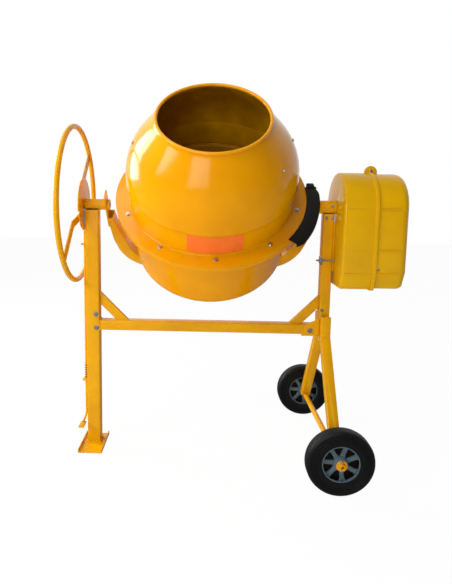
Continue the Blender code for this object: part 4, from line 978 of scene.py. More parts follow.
# ---------------------------------------------------------------- the stand
@dataclass
class Stand:
    """Posts, beam, braces, legs, foot and bearings."""

    left_width: float = 0.045
    right_width: float = 0.034
    depth: float = 0.040
    wall: float = 0.0025
    corner: float = 0.0045
    beam_height: float = 0.034
    beam_middle: float = 0.425
    left_bearing: float = 0.0178
    left_bore: float = 0.0141
    right_bearing: float = 0.0215
    right_bore: float = 0.0173
    tube_edge: float = 0.0004
    brace_toe: float = 0.042            # length of the weld under a brace's end
    bead_inset: float = 0.002           # how far a bearing's beads stay inside its post
    upper_bolt: Point = (0.011, 0.463)
    lower_bolt: Point = (0.012, 0.417)
    bracket_bolt: Point = (0.7335, 0.422)
    brace_bolt: Point = (0.7705, 0.4915)
    bearing_bolt_rise: float = 0.7990
    bearing_bolt_insets: Point = (0.009, 0.007)     # from the post's left and right face
    grease_bolt: float = 0.7896         # where it sits along X
    grease_lean: float = 0.15           # radians that it leans up from the front

    def build(self) -> None:
        """Build and dress the whole stand."""
        self.posts()
        self.beam()
        self.legs_and_foot()
        self.bearings()
        self.bolts()

    def square_tube(self, name: str, width: float, depth: float, length: float,
                    place: Matrix) -> bpy.types.Object:
        """A drawn square tube with its rolled corners.

        Args:
            name: The piece's name.
            width: Its size along local x.
            depth: Its size along local y.
            length: Its reach along local z.
            place: Where it goes.

        Returns:
            The piece.
        """
        outer = rounded(rectangle(-width / 2, -depth / 2, width / 2, depth / 2), self.corner, 5)
        inner = rounded(rectangle(self.wall - width / 2, self.wall - depth / 2,
                                  width / 2 - self.wall, depth / 2 - self.wall),
                        self.corner - self.wall, 4)
        return plate(name, [outer, inner], length, place, self.tube_edge, 1)

    def posts(self) -> None:
        """The two uprights, and a weld round the foot of the left one."""
        for node, width in {"left_post": self.left_width, "right_post": self.right_width}.items():
            low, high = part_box(node)
            middle = (low.x + high.x) / 2
            post = self.square_tube(node + "_tube", width, self.depth, high.z - low.z,
                                    along_z(middle, 0.0, low.z))
            fit(post, FRAME_ENAMEL, "frame", node)
        low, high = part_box("left_post")
        weld("foot_weld", box_path(low.x, low.y, high.x, high.y, low.z + 0.0008), "frame",
             closed=True)

    def beam(self) -> None:
        """The cross beam with its bracket and two braces."""
        low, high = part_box("cross_beam")
        beam = self.square_tube("cross_beam_tube", self.depth, self.beam_height,
                                high.x - low.x, along_x(low.x, 0.0, self.beam_middle))
        fit(beam, FRAME_ENAMEL, "frame", "cross_beam")
        for node, edge in {"beam_bracket": 0.0010, "left_brace": 0.0024,
                           "right_brace": 0.0024}.items():
            fit_node(node, node + "_steel", edge, 3, FRAME_ENAMEL, "frame")
        for side, x in {"left": low.x, "right": high.x}.items():
            ends = [Vector((x, y, z)) for y, z in rectangle(low.y, low.z, high.y, high.z)]
            weld(side + "_beam_weld", ends, "frame", 0.0022, closed=True)
            brace_low, brace_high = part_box(side + "_brace")
            inner = brace_high.x if side == "left" else brace_low.x
            reach = self.brace_toe if side == "left" else -self.brace_toe
            toe = [Vector((inner - reach * t, brace_low.y, brace_low.z)) for t in (0.0, 1.0)]
            weld(side + "_brace_weld", toe, "frame", 0.0020)

    def legs_and_foot(self) -> None:
        """The folded foot and the two splayed channel legs."""
        fit_node("foot_plate", "foot_pressing", 0.0014, 3, FRAME_ENAMEL, "frame")
        for node in ("front_leg", "rear_leg"):
            fit_node(node, node + "_channel", 0.0011, 2, FRAME_ENAMEL, "frame")

    def bearings(self) -> None:
        """The trunnion bearing tubes and the beads that hold them to the posts."""
        sizes = {"left_bearing_tube": (self.left_bore, self.left_bearing, "left_post"),
                 "right_bearing_tube": (self.right_bore, self.right_bearing, "right_post")}
        for node, (bore, radius, post) in sizes.items():
            low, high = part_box(node)
            section = ring_section(bore, radius, 0.0, high.x - low.x, 0.0010)
            fit(turned(node + "_steel", section, along_x(low.x), 72), FRAME_ENAMEL, "frame",
                node)
            post_low, post_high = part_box(post)
            start = max(post_low.x, low.x) + self.bead_inset
            end = min(post_high.x, high.x) - self.bead_inset
            for side in (-1.0, 1.0):
                drop = math.sqrt(max(radius ** 2 - (self.depth * 0.38) ** 2, 0.0))
                y = side * min(self.depth * 0.42, radius * 0.86)
                z = PIVOT.z - max(drop, radius * 0.45)
                run = [Vector((start, y, z)), Vector((end, y, z))]
                weld(f"{node}_bead_{'front' if side < 0 else 'back'}", run, "frame", 0.0028)

    def bolts(self) -> None:
        """Bolts of the beam, the braces, the bracket and the right bearing."""
        left_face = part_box("left_post")[0].y
        right_low, right_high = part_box("right_post")
        bracket_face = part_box("beam_bracket")[0].y
        front = -Y_AXIS
        for name, y, way in (("post_bolts", left_face, front),
                             ("post_bolts_back", -left_face, Y_AXIS)):
            fasteners(name, Fastener.POST_BOLT,
                      [(Vector((x, y, z)), way) for x, z in (self.upper_bolt, self.lower_bolt)],
                      "frame")
        for name, kind, (x, z), y in (
                ("bracket_bolt", Fastener.POST_BOLT, self.bracket_bolt, bracket_face),
                ("brace_bolt", Fastener.SMALL_BOLT, self.brace_bolt, right_low.y)):
            fasteners(name, kind, [(Vector((x, y, z)), front)], "frame")
        near, far = self.bearing_bolt_insets
        fasteners("bearing_bolts", Fastener.SMALL_BOLT,
                  [(Vector((x, right_low.y, self.bearing_bolt_rise)), front)
                   for x in (right_high.x - far, right_low.x + near)], "frame")
        slope = Vector((0.0, -math.cos(self.grease_lean), math.sin(self.grease_lean)))
        seat = Vector((self.grease_bolt, 0.0, PIVOT.z)) + slope * self.right_bearing
        fasteners("bearing_grease_bolt", Fastener.SMALL_BOLT, [(seat, slope)], "frame")


# ---------------------------------------------------------------- axle and wheels
@dataclass
class RunningGear:
    """Axle, wheels, washers and split pins."""

    height: float = 0.100
    axle: float = 0.009
    axle_bore: float = 0.0055
    tyre_half: float = 0.022
    bead_seat: float = 0.0663
    side_wall: float = 0.0556
    rim: float = 0.066
    rim_wall: float = 0.008
    rim_lip: float = 0.0518
    rim_half: float = 0.018
    hub: float = 0.022
    hub_half: float = 0.024
    # half thickness of the black disc that paints the shade behind the spokes
    shade_disc_half: float = 0.0022
    spokes: int = 7
    first_spoke: float = math.radians(68.0)

    def build(self) -> None:
        """Build and dress the axle and both wheels."""
        self.axle_tube()
        for side, way in {"front": -1.0, "rear": 1.0}.items():
            self.wheel(side)
            self.washer_and_pin(side, way)

    def middle(self) -> float:
        """Where the axle lies along X."""
        low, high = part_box("axle")
        return (low.x + high.x) / 2

    def axle_tube(self) -> None:
        """The axle, a tube whose open ends show."""
        low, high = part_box("axle")
        reach = high.y - low.y
        half, bore, mouth = reach / 2, self.axle_bore, 0.030
        section = rounded([(self.axle, half), (self.axle, -half), (bore, -half),
                           (bore, mouth - half)], 0.0008, 3, closed=False)
        section += [(0.0, mouth - half), (0.0, half - mouth)]
        section += rounded([(bore, half - mouth), (bore, half), (self.axle, half)], 0.0008, 3,
                           closed=False)[:-1]
        fit(turned("axle_tube", section, along_y(self.middle(), 0.0, self.height), 40),
            FRAME_ENAMEL, "frame", "axle")

    def tyre_section(self) -> list[Point]:
        """Section of the solid tyre, with its fine moulded rings.

        Returns:
            The closed section, as (radius, height).
        """
        half, crown, lap = self.tyre_half, self.height, self.rim_half + 0.0008
        wall = [(self.side_wall, lap), (self.side_wall + 0.0004, half - 0.0016),
                (self.side_wall + 0.0030, half - 0.0006), (self.bead_seat, half - 0.0004)]
        for radius in (0.0730, 0.0775, 0.0820, 0.0865):
            wall += [(radius - 0.0007, half - 0.0006), (radius, half - 0.0014),
                     (radius + 0.0007, half - 0.0004)]
        wall += [(crown - 0.0085, half - 0.0002), (crown - 0.0045, half - 0.0022),
                 (crown - 0.0014, half - 0.0064)]
        tread = [(crown, half - 0.0110)]
        for level in (0.0070, 0.0, -0.0070):
            tread += [(crown, level + 0.0011), (crown - 0.0012, level + 0.0005),
                      (crown - 0.0012, level - 0.0005), (crown, level - 0.0011)]
        tread.append((crown, 0.0110 - half))
        far = [(radius, -out) for radius, out in wall[::-1]]
        return [(self.bead_seat, lap)] + wall + tread + far + [(self.bead_seat, -lap)]

    def wheel(self, side: str) -> None:
        """One wheel: tyre, rim band, hub, spokes, and a black disc behind the spokes as painted
        shade.

        Args:
            side: Front or rear.
        """
        body = side + "_wheel"
        low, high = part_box(side + "_tyre")
        place = along_y(self.middle(), (low.y + high.y) / 2, self.height)
        fit(turned(side + "_solid_tyre", self.tyre_section(), place, 120, SHELL_TURN),
            TYRE_RUBBER, body, side + "_tyre")
        lip, edge, well = self.rim_half, self.rim_half + 0.0016, self.rim - self.rim_wall
        out = self.side_wall - GAP
        half = [(self.rim, lip), (out, lip), (out, edge), (self.rim_lip, edge),
                (self.rim_lip + 0.0012, lip - 0.007), (well, 0.006)]
        band = rounded([(radius, -level) for radius, level in half] + half[::-1], 0.0009, 3)
        fit(turned(side + "_rim_band", band, place, 96), RIM_NYLON, body, side + "_rim")
        hub = rounded([(self.hub * 0.80, self.hub_half), (self.hub, self.hub_half - 0.012),
                       (self.hub, 0.012 - self.hub_half), (self.hub * 0.80, -self.hub_half),
                       (self.axle + GAP, -self.hub_half), (self.axle + GAP, self.hub_half)],
                      0.0016, 3)
        fit(turned(side + "_hub", hub, place, 48), RIM_NYLON, body)
        reach, root = well + 0.002, self.hub - 0.003
        # a black disc behind the spokes, whose dark colour paints the shade in the gaps between
        # them
        shade_disc = ring_section(root, reach, -self.shade_disc_half, self.shade_disc_half, 0.0006)
        fit(turned(side + "_web", shade_disc, place, 96), BLACK_PP, body)
        arm = rounded([(root, -0.0085), (root + 0.010, -0.0062), (reach - 0.014, -0.0066),
                       (reach, -0.0125), (reach, 0.0125), (reach - 0.014, 0.0066),
                       (root + 0.010, 0.0062), (root, 0.0085)], 0.004, 4)
        pattern = plate("spoke", [arm], 0.020, Matrix.Translation((0.0, 0.0, -0.010)), 0.0022, 3)
        spin = Matrix.Rotation(self.first_spoke, 4, "Z")
        spokes = grown(side + "_spokes", Growth.AROUND, RIM_NYLON, place @ spin, Part=pattern,
                       Count=self.spokes)
        bpy.data.objects.remove(pattern)
        fit(spokes, RIM_NYLON, body)

    def washer_and_pin(self, side: str, way: float) -> None:
        """The washer and the bent split pin that hold a wheel on.

        Args:
            side: Front or rear.
            way: Which way along Y the pin's legs are bent.
        """
        low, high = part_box(side + "_washer")
        washer = ring_section(self.axle + GAP, 0.016, 0.0, high.y - low.y, 0.0006)
        fit(turned(side + "_axle_washer", washer, along_y(self.middle(), low.y, self.height), 40),
            FRAME_ENAMEL, "frame", side + "_washer")
        low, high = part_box(side + "_split_pin")
        x, y = (low.x + high.x) / 2, (low.y + high.y) / 2
        wire, top, foot = 0.00105, high.z - 0.0058, low.z
        eye = [Vector((x + 0.0030 * math.cos(a), y, top + 0.0016 + 0.0034 * math.sin(a)))
               for a in [math.radians(-70 + 320 * i / 18) for i in range(19)]]
        legs = [[Vector((x + hand * across, y + way * out, z)) for across, out, z in (
                    (0.0006, 0.0, top - 0.0020), (0.0006, 0.0, foot + 0.012),
                    (0.0020, 0.0006, foot + 0.008), (0.0058, 0.0012, foot + 0.0035))]
                for hand in (-1.0, 1.0)]
        fit(tube(side + "_split_pin_wire", legs[0][::-1] + eye[::-1] + legs[1], wire, 10),
            ZINC_PLATE, "frame", side + "_split_pin")


# ---------------------------------------------------------------- the drum
@dataclass
class Drum:
    """Upper and lower drum, their flanges, mouth bead, blades, gear and fasteners."""

    steps: int = 160
    sheet: float = 0.0025
    neck: float = 0.1625
    mouth_rise: float = 0.346
    cone: float = math.radians(40.0)
    shoulder: float = 0.200
    widest: float = 0.266
    crease_rise: float = 0.1464
    band: float = 0.263
    fillet: float = 0.006
    flange: float = 0.308
    flange_rise: float = 0.0551
    bead: float = 0.0052
    skirt_top: float = 0.0515
    skirt_foot: float = 0.033
    bolt_circle: float = 0.278
    first_bolt: float = math.radians(-87.0)
    bolts: int = 10
    middle_rise: float = 0.06           # the middle that a shell's faces are judged from
    flange_start: float = 0.265         # faces further out than this are the flange's
    mouth_start: float = 0.284          # faces this far above the middle are the mouth's
    label_start: float = math.radians(-105.5)
    label_span: float = math.radians(36.0)
    label_low: float = 0.0655
    label_height: float = 0.071
    label_faces: Point = (0.0002, 0.0005)           # how far its two faces stand off

    def build(self) -> None:
        """Build and dress the drum and all that turns with it."""
        self.shells()
        self.mouth_bead()
        self.flange_skirt()
        self.flange_bolts()
        self.blade_bolts()
        self.label()
        self.running_parts()

    def bowl_outside(self) -> list[Point]:
        """Outside of the upper drum, from the neck down to the flange edge.

        Returns:
            The profile, as (radius, rise).
        """
        centre = (self.widest - self.shoulder, self.crease_rise)
        turn = arc(centre, self.shoulder, self.cone, 0.0, 16)
        start = turn[0]
        drop = (start[0] - self.neck) / math.tan(self.cone)
        low = start[1] + drop
        wall = [(self.neck, self.mouth_rise), (self.neck, low + 0.002)]
        wall += [(self.neck + 0.0012, low - 0.0014)]
        wall += [(self.neck + (start[0] - self.neck) * t, low + (start[1] - low) * t)
                 for t in (0.12, 0.3, 0.5, 0.7, 0.88)]
        wall += turn
        rise = self.crease_rise
        wall += [(self.widest + 0.0006, rise - 0.0026), (self.widest - 0.0004, rise - 0.0060),
                 (self.widest - 0.0018, rise - 0.0120), (self.band, rise - 0.0260)]
        foot = self.flange_rise
        wall += [(self.band, foot + self.fillet + 0.030)]
        wall += arc((self.band + self.fillet, foot + self.fillet), self.fillet, math.pi,
                    1.5 * math.pi, 5)
        wall.append((self.flange, foot))
        return wall

    def shells(self) -> None:
        """The two pressed shells, whose insides get a darker enamel as painted shade."""
        bowl = turned("upper_drum_shell", sheet_section(self.bowl_outside(), self.sheet),
                      drum_place(), self.steps, SHELL_TURN)
        self.paint_inside_shade(bowl)
        fit(bowl, DRUM_ENAMEL, "drum", "drum_bowl", "drum_band")
        low, high = self.pan_rises()
        pan = turned("lower_drum_shell", self.pan_section(low, high), drum_place(), self.steps,
                     SHELL_TURN)
        self.paint_inside_shade(pan)
        fit(pan, DRUM_ENAMEL, "drum", "drum_pan")

    def pan_rises(self) -> tuple[float, float]:
        """Lowest and highest rise of the lower drum along the drum axis."""
        corners = [DRUM_AXIS.dot(vertex.co - PIVOT)
                   for vertex in frame["nodes"]["drum_pan"].data.vertices]
        return min(corners), max(corners)

    def pan_section(self, low: float, high: float) -> list[Point]:
        """Section of the lower drum, from its flange down to the spindle hole.

        Args:
            low: Rise of its bottom.
            high: Rise of its flange's top.

        Returns:
            The closed section, as (radius, rise).
        """
        reach = [(DRUM_AXIS.cross(vertex.co - PIVOT).length, DRUM_AXIS.dot(vertex.co - PIVOT))
                 for vertex in frame["nodes"]["drum_pan"].data.vertices]
        wall = max(radius for radius, rise in reach if rise < high - 2.2 * self.sheet)
        hole = min(radius for radius, _ in reach)
        flat = max(radius for radius, rise in reach if rise < low + 0.0005)
        corner = wall - flat
        outside = [(self.flange, high - self.sheet), (wall + self.fillet, high - self.sheet)]
        outside += arc((wall + self.fillet, high - self.sheet - self.fillet), self.fillet,
                       math.pi / 2, math.pi, 4)[1:]
        outside += arc((wall - corner, low + corner), corner, 0.0, -math.pi / 2, 20)
        outside.append((hole, low))
        return sheet_section(outside, self.sheet)

    def paint_inside_shade(self, shell: bpy.types.Object) -> None:
        """Give the faces inside a shell a darker copy of the enamel, as painted shade.

        Args:
            shell: A shell turned about the drum axis.
        """
        # the second finish is the darker enamel that paints the shade inside the drum
        for finish in (DRUM_ENAMEL, DRUM_INSIDE_SHADE):
            shell.data.materials.append(finish.material())
        middle = PIVOT + DRUM_AXIS * self.middle_rise
        for face in shell.data.polygons:
            spoke = face.center - middle
            rise = spoke.dot(DRUM_AXIS)
            reach = (spoke - DRUM_AXIS * rise).length
            outside = (reach > self.flange_start or rise > self.mouth_start
                       or face.normal.dot(spoke) > 0.0)
            face.material_index = 0 if outside else 1

    def flange_skirt(self) -> None:
        """The lower flange's edge, rolled down round the ring gear."""
        out = self.flange - 0.0005
        edge = rounded([(out, self.skirt_top), (out, self.skirt_foot),
                        (out - self.sheet, self.skirt_foot), (out - self.sheet, self.skirt_top)],
                       0.0007, 3)
        fit(turned("rolled_flange_skirt", edge, drum_place(), self.steps), DRUM_ENAMEL, "drum")

    def mouth_bead(self) -> None:
        """The rolled rim of the mouth."""
        ring = grown("rolled_mouth_bead", Growth.HOOP, DRUM_ENAMEL,
                     drum_place() @ Matrix.Translation((0.0, 0.0, self.mouth_rise)),
                     Radius=self.neck + 0.0002, Tube=self.bead, Steps=self.steps, Sides=16)
        fit(ring, DRUM_ENAMEL, "drum")

    def on_drum(self, radius: float, rise: float, turn: float) -> Vector:
        """A place on the drum from its radius, rise and angle."""
        return drum_place() @ Vector((radius * math.cos(turn), radius * math.sin(turn), rise))

    def flange_bolts(self) -> None:
        """Bolts through both flanges, with a washer under each head."""
        turns = [self.first_bolt + math.tau * i / self.bolts for i in range(self.bolts)]
        top = [(self.on_drum(self.bolt_circle, self.flange_rise, turn), DRUM_AXIS)
               for turn in turns]
        fasteners("flange_bolts", Fastener.FLANGE_BOLT, top, "drum")

    def blade_bolts(self) -> None:
        """Heads of the bolts that hold the blades, on the outside of the wall."""
        for name, rise, turn in (("upper_left", 0.2524, 179.2), ("upper_right", 0.2481, 6.5),
                                 ("lower_right", 0.2588, -32.7)):
            angle = math.radians(turn)
            radius, slope = self.wall_at(rise)
            seat = self.on_drum(radius, rise, angle)
            out = self.on_drum(radius + math.cos(slope), rise + math.sin(slope), angle) - seat
            fasteners(f"blade_bolt_{name}", Fastener.BLADE_BOLT, [(seat, out.normalized())],
                      "drum")

    def wall_at(self, rise: float) -> tuple[float, float]:
        """The upper wall at a rise.

        Args:
            rise: Distance along the drum axis from the pivot.

        Returns:
            The wall's radius there, and the slope of its normal in radians.
        """
        wall = self.bowl_outside()
        for (r0, z0), (r1, z1) in zip(wall, wall[1:]):
            if z1 <= rise <= z0 and z0 > z1:
                share = (rise - z1) / (z0 - z1)
                return r1 + (r0 - r1) * share, math.atan2(r1 - r0, z0 - z1)
        return self.widest, 0.0

    def label(self) -> None:
        """A plain coloured panel on the front of the band, with nothing printed on it."""
        columns, rows = 24, 8
        bm = bmesh.new()
        grid = []
        for i in range(columns + 1):
            turn = self.label_start + self.label_span * i / columns
            column = []
            for k in range(rows + 1):
                rise = self.label_low + self.label_height * k / rows
                radius = max(self.wall_at(rise)[0], self.band)
                column.append([bm.verts.new(self.on_drum(radius + lift, rise, turn))
                               for lift in self.label_faces])
            grid.append(column)
        for i in range(columns):
            for k in range(rows):
                for layer in (0, 1):
                    bm.faces.new((grid[i][k][layer], grid[i + 1][k][layer],
                                  grid[i + 1][k + 1][layer], grid[i][k + 1][layer]))
        for i in range(columns):
            for k in (0, rows):
                bm.faces.new((grid[i][k][0], grid[i + 1][k][0], grid[i + 1][k][1],
                              grid[i][k][1]))
        for k in range(rows):
            for i in (0, columns):
                bm.faces.new((grid[i][k][0], grid[i][k + 1][0], grid[i][k + 1][1],
                              grid[i][k][1]))
        fit(from_bmesh("plain_side_panel", bm), PLAIN_VINYL, "drum")

    def running_parts(self) -> None:
        """Blades, ring gear, spindle and nut keep their CAD shape; blades and gear get eased
        edges.
        """
        for node in ("left_blade", "right_blade"):
            fit_node(node, node + "_sheet", 0.0010, 2, BLADE_ENAMEL, "drum")
        fit_node("ring_gear", "cast_ring_gear", 0.0006, 1, GREY_IRON, "drum")
        dress_node("drum_spindle", DRAWN_STEEL)
        dress_node("spindle_nut", ZINC_PLATE)


# ---------------------------------------------------------------- the yoke
@dataclass
class Yoke:
    """The channel under the drum, its trunnions, the gear guard and the spindle bearing."""

    half_width: float = 0.021
    depth: float = 0.040
    wall: float = 0.004
    corner: float = 0.0035
    bend: float = 0.120
    arm_share: float = 0.42         # depth left at the arms' upper ends
    arm_top: float = -0.060
    arm_reach: float = 0.160
    spindle_hole: float = 0.0131
    hole_low: float = -0.30
    hole_high: float = -0.25
    guard_inner: float = 0.3035
    guard_outer: float = 0.3460
    guard_top: float = 0.0620
    guard_wall: float = 0.0025
    guard_low: float = math.radians(-41.0)
    guard_high: float = math.radians(5.0)
    guard_steps: int = 40
    skirt_depth: float = 0.012          # at the guard's lower end
    skirt_run: float = 0.034            # how much deeper it is at the upper end
    skirt_bend: float = 1.6             # how late along the guard it gets deeper
    low_draw: Point = (0.010, 0.12)     # how far the lower end is drawn in, over which share
    high_draw: Point = (0.012, 0.14)    # the same for the upper end

    def build(self) -> None:
        """Build and dress the yoke."""
        self.channel()
        self.guard()
        for node in ("left_trunnion", "right_trunnion"):
            fit_node(node, node + "_turned", 0.0012, 3, FRAME_ENAMEL, "tilting_yoke")
        fit_node("spindle_bearing", "spindle_bearing_casting", 0.0010, 2, GREY_IRON,
                 "tilting_yoke")

    def channel(self) -> None:
        """The bent channel, its back to the drum, with a hole for the drum's spindle."""
        half = [(-0.3445, -0.045), (-0.3445, -0.092), (-0.3395, -0.152), (-0.3230, -0.217),
                (-0.2950, -0.262), (-0.2620, -0.288), (-0.2150, -0.306), (-0.1550, -0.313)]
        path = rounded(half + [(-x, rise) for x, rise in half[::-1]], self.bend, 5, closed=False)
        out, back, wide = self.depth, self.depth - self.wall, self.half_width
        thin = wide - self.wall
        section = rounded([(0.0, -wide), (out, -wide), (out, wide), (0.0, wide), (0.0, thin),
                           (back, thin), (back, -thin), (0.0, -thin)], self.corner, 3)
        shares = [min(1.0, self.arm_share + max(0.0, self.arm_top - rise) / self.arm_reach)
                  for _, rise in path]
        channel = swept("yoke_channel", path, section, placed(PIVOT, X_AXIS, DRUM_AXIS), shares)
        hole = turned("hole", [(0.0, self.hole_low), (self.spindle_hole, self.hole_low),
                               (self.spindle_hole, self.hole_high), (0.0, self.hole_high)],
                      drum_place(), 48)
        drilled = channel.modifiers.new("drilled", "BOOLEAN")
        drilled.object, drilled.solver = hole, "EXACT"
        bpy.context.view_layer.update()
        channel = settled(channel)
        bpy.data.objects.remove(hole)
        fit(channel, FRAME_ENAMEL, "tilting_yoke", "yoke")

    def guard(self) -> None:
        """The guard over the gear's mesh: a curved lip with a skirt that runs out downwards."""
        bm = bmesh.new()
        place, rings = drum_place(), []
        for i in range(self.guard_steps + 1):
            share = i / self.guard_steps
            turn = self.guard_low + (self.guard_high - self.guard_low) * share
            foot = self.guard_top - self.skirt_depth - self.skirt_run * share ** self.skirt_bend
            draw = 0.0
            for (reach, over), left in ((self.low_draw, share), (self.high_draw, 1.0 - share)):
                draw += reach * max(0.0, 1.0 - left / over) ** 2
            out, top, wall = self.guard_outer - draw, self.guard_top, self.guard_wall
            section = rounded([(self.guard_inner, top), (out, top), (out, foot),
                               (out - wall, foot), (out - wall, top - wall),
                               (self.guard_inner, top - wall)], 0.0022, 3)
            rings.append([bm.verts.new(place @ Vector((r * math.cos(turn), r * math.sin(turn), z)))
                          for r, z in section])
        skin(bm, rings)
        fit(from_bmesh("pressed_gear_guard", bm), BLACK_PP, "tilting_yoke", "gear_guard")
        lug = rounded([(0.3118, -0.006), (0.3118, 0.018), (0.3350, 0.016), (0.3360, 0.0),
                       (0.3440, -0.006)], 0.004, 4)
        turned_by = Matrix.Rotation(self.guard_high, 4, "Z")
        seat = place @ turned_by @ Matrix.Translation((0.0, 0.0, self.guard_top - 0.020))
        fit(plate("gear_guard_lug", [lug], 0.0215, seat, 0.0016, 2), BLACK_PP, "tilting_yoke")


# ---------------------------------------------------------------- handwheel and lock
@dataclass
class TiltControl:
    """Handwheel, lock disc, lock rod with its spring, guides and the hub bolt."""

    tube: float = 0.0095

    def build(self) -> None:
        """Build and dress the tilt control."""
        self.rim()
        self.bar()
        self.lock()

    def rim(self) -> None:
        """The bent tube rim."""
        low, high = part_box("handwheel_rim")
        x, tube_radius = (low.x + high.x) / 2, (high.x - low.x) / 2
        reach = (high.z - low.z) / 2 - tube_radius
        rim = grown("handwheel_hoop", Growth.HOOP, FRAME_ENAMEL,
                    along_x(x, 0.0, (low.z + high.z) / 2), Radius=reach, Tube=tube_radius,
                    Steps=160, Sides=24)
        fit(rim, FRAME_ENAMEL, "tilting_yoke", "handwheel_rim")

    def bar(self) -> None:
        """The hat-bent flat bar across the rim, and its welds."""
        fit_node("handwheel_bar", "handwheel_flat_bar", 0.0012, 3, FRAME_ENAMEL, "tilting_yoke")
        low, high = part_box("handwheel_rim")
        x, reach = (low.x + high.x) / 2, (high.z - low.z) / 2 - self.tube * 2
        for name, way in {"upper": 1.0, "lower": -1.0}.items():
            foot = Vector((x, 0.0, PIVOT.z)) + DRUM_ACROSS * way * (reach + 0.0005)
            run = [foot + DRUM_AXIS * side for side in (-0.012, 0.0, 0.012)]
            weld(f"handwheel_weld_{name}", run, "tilting_yoke", 0.0028)

    def lock(self) -> None:
        """Notched disc, sprung rod and its two guides."""
        fit_node("lock_disc", "notched_lock_disc", 0.0010, 2, FRAME_ENAMEL, "tilting_yoke")
        dress_node("hub_bolt", ZINC_PLATE)
        for node in ("lock_rod", "spring_collar"):
            fit_node(node, node + "_bar", 0.0008, 2, FRAME_ENAMEL, "lock_bar")
        for node in ("rod_guide_upper", "rod_guide_lower"):
            fit_node(node, node + "_clip", 0.0010, 2, FRAME_ENAMEL, "frame")
        dress_node("lock_spring", SPRING_WIRE)


# ---------------------------------------------------------------- housing and drive
@dataclass
class Housing:
    """The two-part drive housing, its lip, lug, moulded lines, screws and the drive inside."""

    radius: float = 0.112
    side_foot: float = -0.200
    foot: float = -0.257
    taper: float = 0.016
    foot_corner: float = 0.014
    lip_start: float = 0.8990
    lip_width: float = 0.0115
    lip_proud: float = 0.0030
    lug_middle: float = 0.911
    lug_radius: float = 0.020
    line_radius: float = 0.0016
    line_sunk: float = 0.45             # share of a line's radius that is in the wall
    cover_screw: Point = (0.9180, 0.6436)

    def build(self) -> None:
        """Build and dress the housing and everything it encloses."""
        self.covers()
        self.lip()
        self.lug()
        self.moulded_lines()
        self.screws()
        self.drive()

    def outline(self, grow: float) -> list[Point]:
        """The housing's outline in Y and height above the drum pivot.

        Args:
            grow: How far it is moved outwards.

        Returns:
            The closed outline.
        """
        wide, foot = self.radius + grow, self.foot - grow
        toe = wide - self.taper
        points = arc((0.0, 0.0), wide, 0.0, math.pi, 56)
        points += [(-wide, self.side_foot), (-toe, foot), (toe, foot), (wide, self.side_foot)]
        return rounded(points, self.foot_corner + grow, 5)

    def lip(self) -> None:
        """The raised lip of the inner shell, where the cover meets it."""
        seat = along_x(self.lip_start)
        ring = plate("housing_lip", [self.outline(self.lip_proud), self.outline(-0.0010)],
                     self.lip_width, seat, 0.0010, 3)
        fit(ring, HOUSING_ABS, "frame")

    def lug(self) -> None:
        """The round lug on top of the lip, with its screw."""
        low = self.radius - 0.004
        half = arc((0.0, low + 0.0065), self.lug_radius, 0.0, math.pi, 20)
        outline = [(self.lug_radius, low)] + half + [(-self.lug_radius, low)]
        seat = placed((self.lug_middle, 0.005, PIVOT.z), X_AXIS, Z_AXIS)
        fit(plate("housing_lug", [outline], 0.010, seat, 0.0014, 3), HOUSING_ABS, "frame")
        face = Vector((self.lug_middle, -0.005, PIVOT.z + low + 0.010))
        fasteners("lug_bolt", Fastener.SMALL_BOLT, [(face, -Y_AXIS)], "frame")

    def moulded_lines(self) -> None:
        """The fine raised lines that cross the housing's front and back."""
        shell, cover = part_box("housing_shell"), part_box("housing_cover")
        sink = self.radius - self.line_radius * self.line_sunk
        for number, rise in enumerate((-0.002, -0.130, self.side_foot - 0.004)):
            for side, way in {"front": -1.0, "back": 1.0}.items():
                for part, start, end in (
                        ("shell", shell[0].x + 0.008, self.lip_start + 0.001),
                        ("cover", self.lip_start + self.lip_width - 0.001, cover[1].x - 0.024)):
                    run = [Vector((x, way * sink, PIVOT.z + rise)) for x in (start, end)]
                    fit(tube(f"moulded_line_{number}_{side}_{part}", run, self.line_radius, 12),
                        HOUSING_ABS, "frame")

    def covers(self) -> None:
        """The inner shell and outer cover with their moulded edges, bracket and bulkhead."""
        for node, name, edge, segments, finish in (
                ("housing_shell", "housing_inner_shell", 0.0022, 3, HOUSING_ABS),
                ("housing_cover", "housing_outer_cover", 0.0035, 4, HOUSING_ABS),
                ("housing_bracket", "housing_fold_bracket", 0.0010, 2, FRAME_ENAMEL),
                ("motor_partition", "motor_bulkhead", 0.0010, 2, DRAWN_STEEL)):
            fit_node(node, name, edge, segments, finish, "frame")

    def screws(self) -> None:
        """The cover's screw, and the wing nut on its tension bolt."""
        x, z = self.cover_screw
        seat = Vector((x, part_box("housing_cover")[0].y, z))
        fasteners("cover_screws", Fastener.PAN_SCREW, [(seat, -Y_AXIS)], "frame")
        fit_node("wing_nut", "cast_wing_nut", 0.0012, 3, ZINC_PLATE, "frame")
        dress_node("tension_bolt", ZINC_PLATE)

    def drive(self) -> None:
        """Belt, pulleys, shafts, pinion, fan and motor."""
        for node in ("drive_shaft", "motor_shaft"):
            dress_node(node, DRAWN_STEEL)
        for node, finish, body, edge in (
                ("large_pulley", GREY_IRON, "drive", 0.0008),
                ("bevel_pinion", GREY_IRON, "drive", 0.0004),
                ("motor_pulley", GREY_IRON, "motor_rotor", 0.0006),
                ("motor_fan", BLACK_PP, "motor_rotor", 0.0006),
                ("motor_body", MOTOR_PAINT, "frame", 0.0016)):
            fit_node(node, node + "_part", edge, 2, finish, body)
        dress_node("drive_belt", BELT_NEOPRENE)


